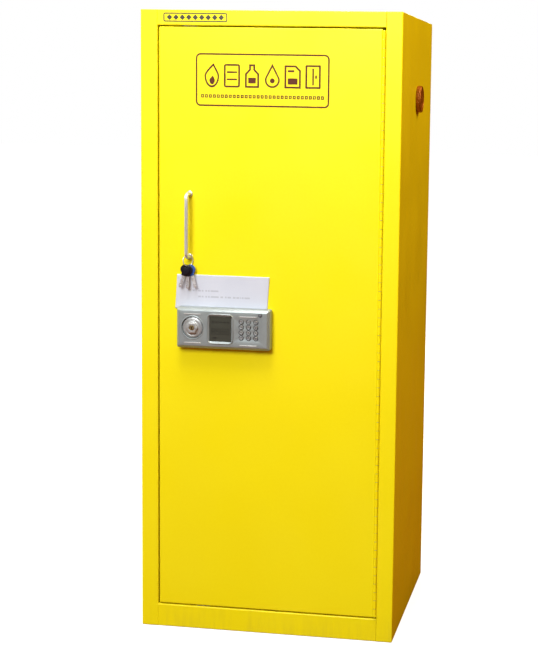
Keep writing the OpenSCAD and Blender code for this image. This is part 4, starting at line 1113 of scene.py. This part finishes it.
# %% Badge
badge_x, badge_z = shell_low[0] + 128.0, 1423.0
rail_front = shell_low[1]
half_w, half_h, badge_line = 74, 10, 2.4
badge_box = rounded_box(badge_x - half_w, badge_z - half_h, badge_x + half_w, badge_z + half_h, 4)
diamond = 6.4 * np.array([(-1, 0), (0, -1), (1, 0), (0, 1)])
diamonds = [[diamond + (x, badge_z)] for x in badge_x + np.linspace(-60, 60, 9)]
badge = [plate(loops, rail_front - ink, rail_front) for loops in [stroke(badge_box, badge_line)] + diamonds]
piece("badge_frame", badge, badge_print, "cabinet")

# %% [markdown]
# ## Floor and light
#
# A plain white floor and a bright, even surround keep every eye on the cabinet. The main light is a
# soft panel in front, a little above head height, so the door is evenly lit and fades slightly
# towards its foot. The right-hand side gets only dim, warm light: yellow paint in the shade always
# looks deeper and more orange than in the light. Two more panels, behind and to the left, keep the
# other sides readable. The floor and the surround look white to the camera, while all other rays
# meet darker colours, brown on the floor and on the right: a Light Path node tells the two apart.

# %% Floor


def for_camera(tree, seen, hidden):
    """One shader for what the camera sees directly, and another for all other rays."""
    direct = node(tree, "LightPath").outputs["Is Camera Ray"]
    return node(tree, "MixShader", {0: direct, 1: hidden.outputs[0], 2: seen.outputs[0]}).outputs[0]


floor_mesh = bpy.data.meshes.new("floor")
reach, below = 30.0, -0.0006
floor_corners = [(x * reach, y * reach, below) for x, y in ((-1, -1), (1, -1), (1, 1), (-1, 1))]
floor_mesh.from_pydata(floor_corners, [], [(0, 1, 2, 3)])
floor = bpy.data.objects.new("floor", floor_mesh)
scene.collection.objects.link(floor)
floor_material, tree, shader, at = finish("floor_white", Roughness=0.9)
tree.nodes.remove(shader)
output = tree.nodes["Material Output"]
greys = ramp(tree, noise(tree, at, 1.2, 3), [(0.3, (0.3, 0.3, 0.3)), (0.7, (0.34, 0.34, 0.34))])
shade = node(tree, "BsdfDiffuse", {"Color": greys})
glow = node(tree, "Emission", {"Color": (1, 1, 1, 1), "Strength": 0.9})
seen = node(tree, "AddShader", {0: shade.outputs[0], 1: glow.outputs[0]})
bounce = node(tree, "BsdfDiffuse", {"Color": (0.14, 0.042, 0.003, 1)})
tree.links.new(for_camera(tree, seen, bounce), output.inputs["Surface"])
floor_mesh.materials.append(floor_material)

# %% World and lamps
world = bpy.data.worlds.new("studio")
scene.world = world
world.use_nodes = True
tree = world.node_tree
tree.nodes.clear()
heading = node(tree, "SeparateXYZ", {"Vector": node(tree, "TexCoord").outputs["Generated"]})
sideways = sums(tree, "MULTIPLY_ADD", heading.outputs["Y"], 0.7, heading.outputs["X"])
from_left = spread(tree, sideways, -0.7, 0.35, 1.0, 0.0)
overhead = spread(tree, heading.outputs["Z"], 0.6, 0.9, 1.0, 5.0)
surround = ramp(tree, from_left, [(0.0, (0.16, 0.04, 0.002)), (1.0, (0.34, 0.335, 0.33))])
lit = node(tree, "Background", {"Color": surround, "Strength": overhead})
seen = node(tree, "Background", {"Color": (1, 1, 1, 1), "Strength": 1.0})
node(tree, "OutputWorld", {"Surface": for_camera(tree, seen, lit)})


def soft_panel(name, place, aim, size, power, colour):
    """A square light of a size in metres at a place, pointing at another place."""
    lamp = bpy.data.lights.new(name, "AREA")
    lamp.size, lamp.energy, lamp.color = size, power, colour
    made = bpy.data.objects.new(name, lamp)
    made.location = place
    made.rotation_euler = (Vector(aim) - Vector(place)).to_track_quat("-Z", "Y").to_euler()
    scene.collection.objects.link(made)
    return made


soft_panel("front_light", (-0.4, -3.2, 2.4), (0, -0.25, 1.0), 1.3, 94, (0.98, 1, 0.99))
soft_panel("side_light", (1.9, -0.3, 2.9), (0.3, 0, 1.5), 1.2, 50, (1, 0.82, 0.42))
soft_panel("back_light", (-0.8, 3.8, 2.4), (0, 0.25, 0.8), 1.6, 150, (1, 0.98, 0.95))
soft_panel("left_light", (-3.6, 0.6, 2.2), (-0.3, 0, 0.8), 1.6, 95, (1, 0.98, 0.95))
soft_panel("ceiling_light", (-0.1, -1.1, 3.0), (-0.1, -0.3, 0.8), 0.8, 34, (1, 1, 1))
scene.view_settings.view_transform = "Standard"
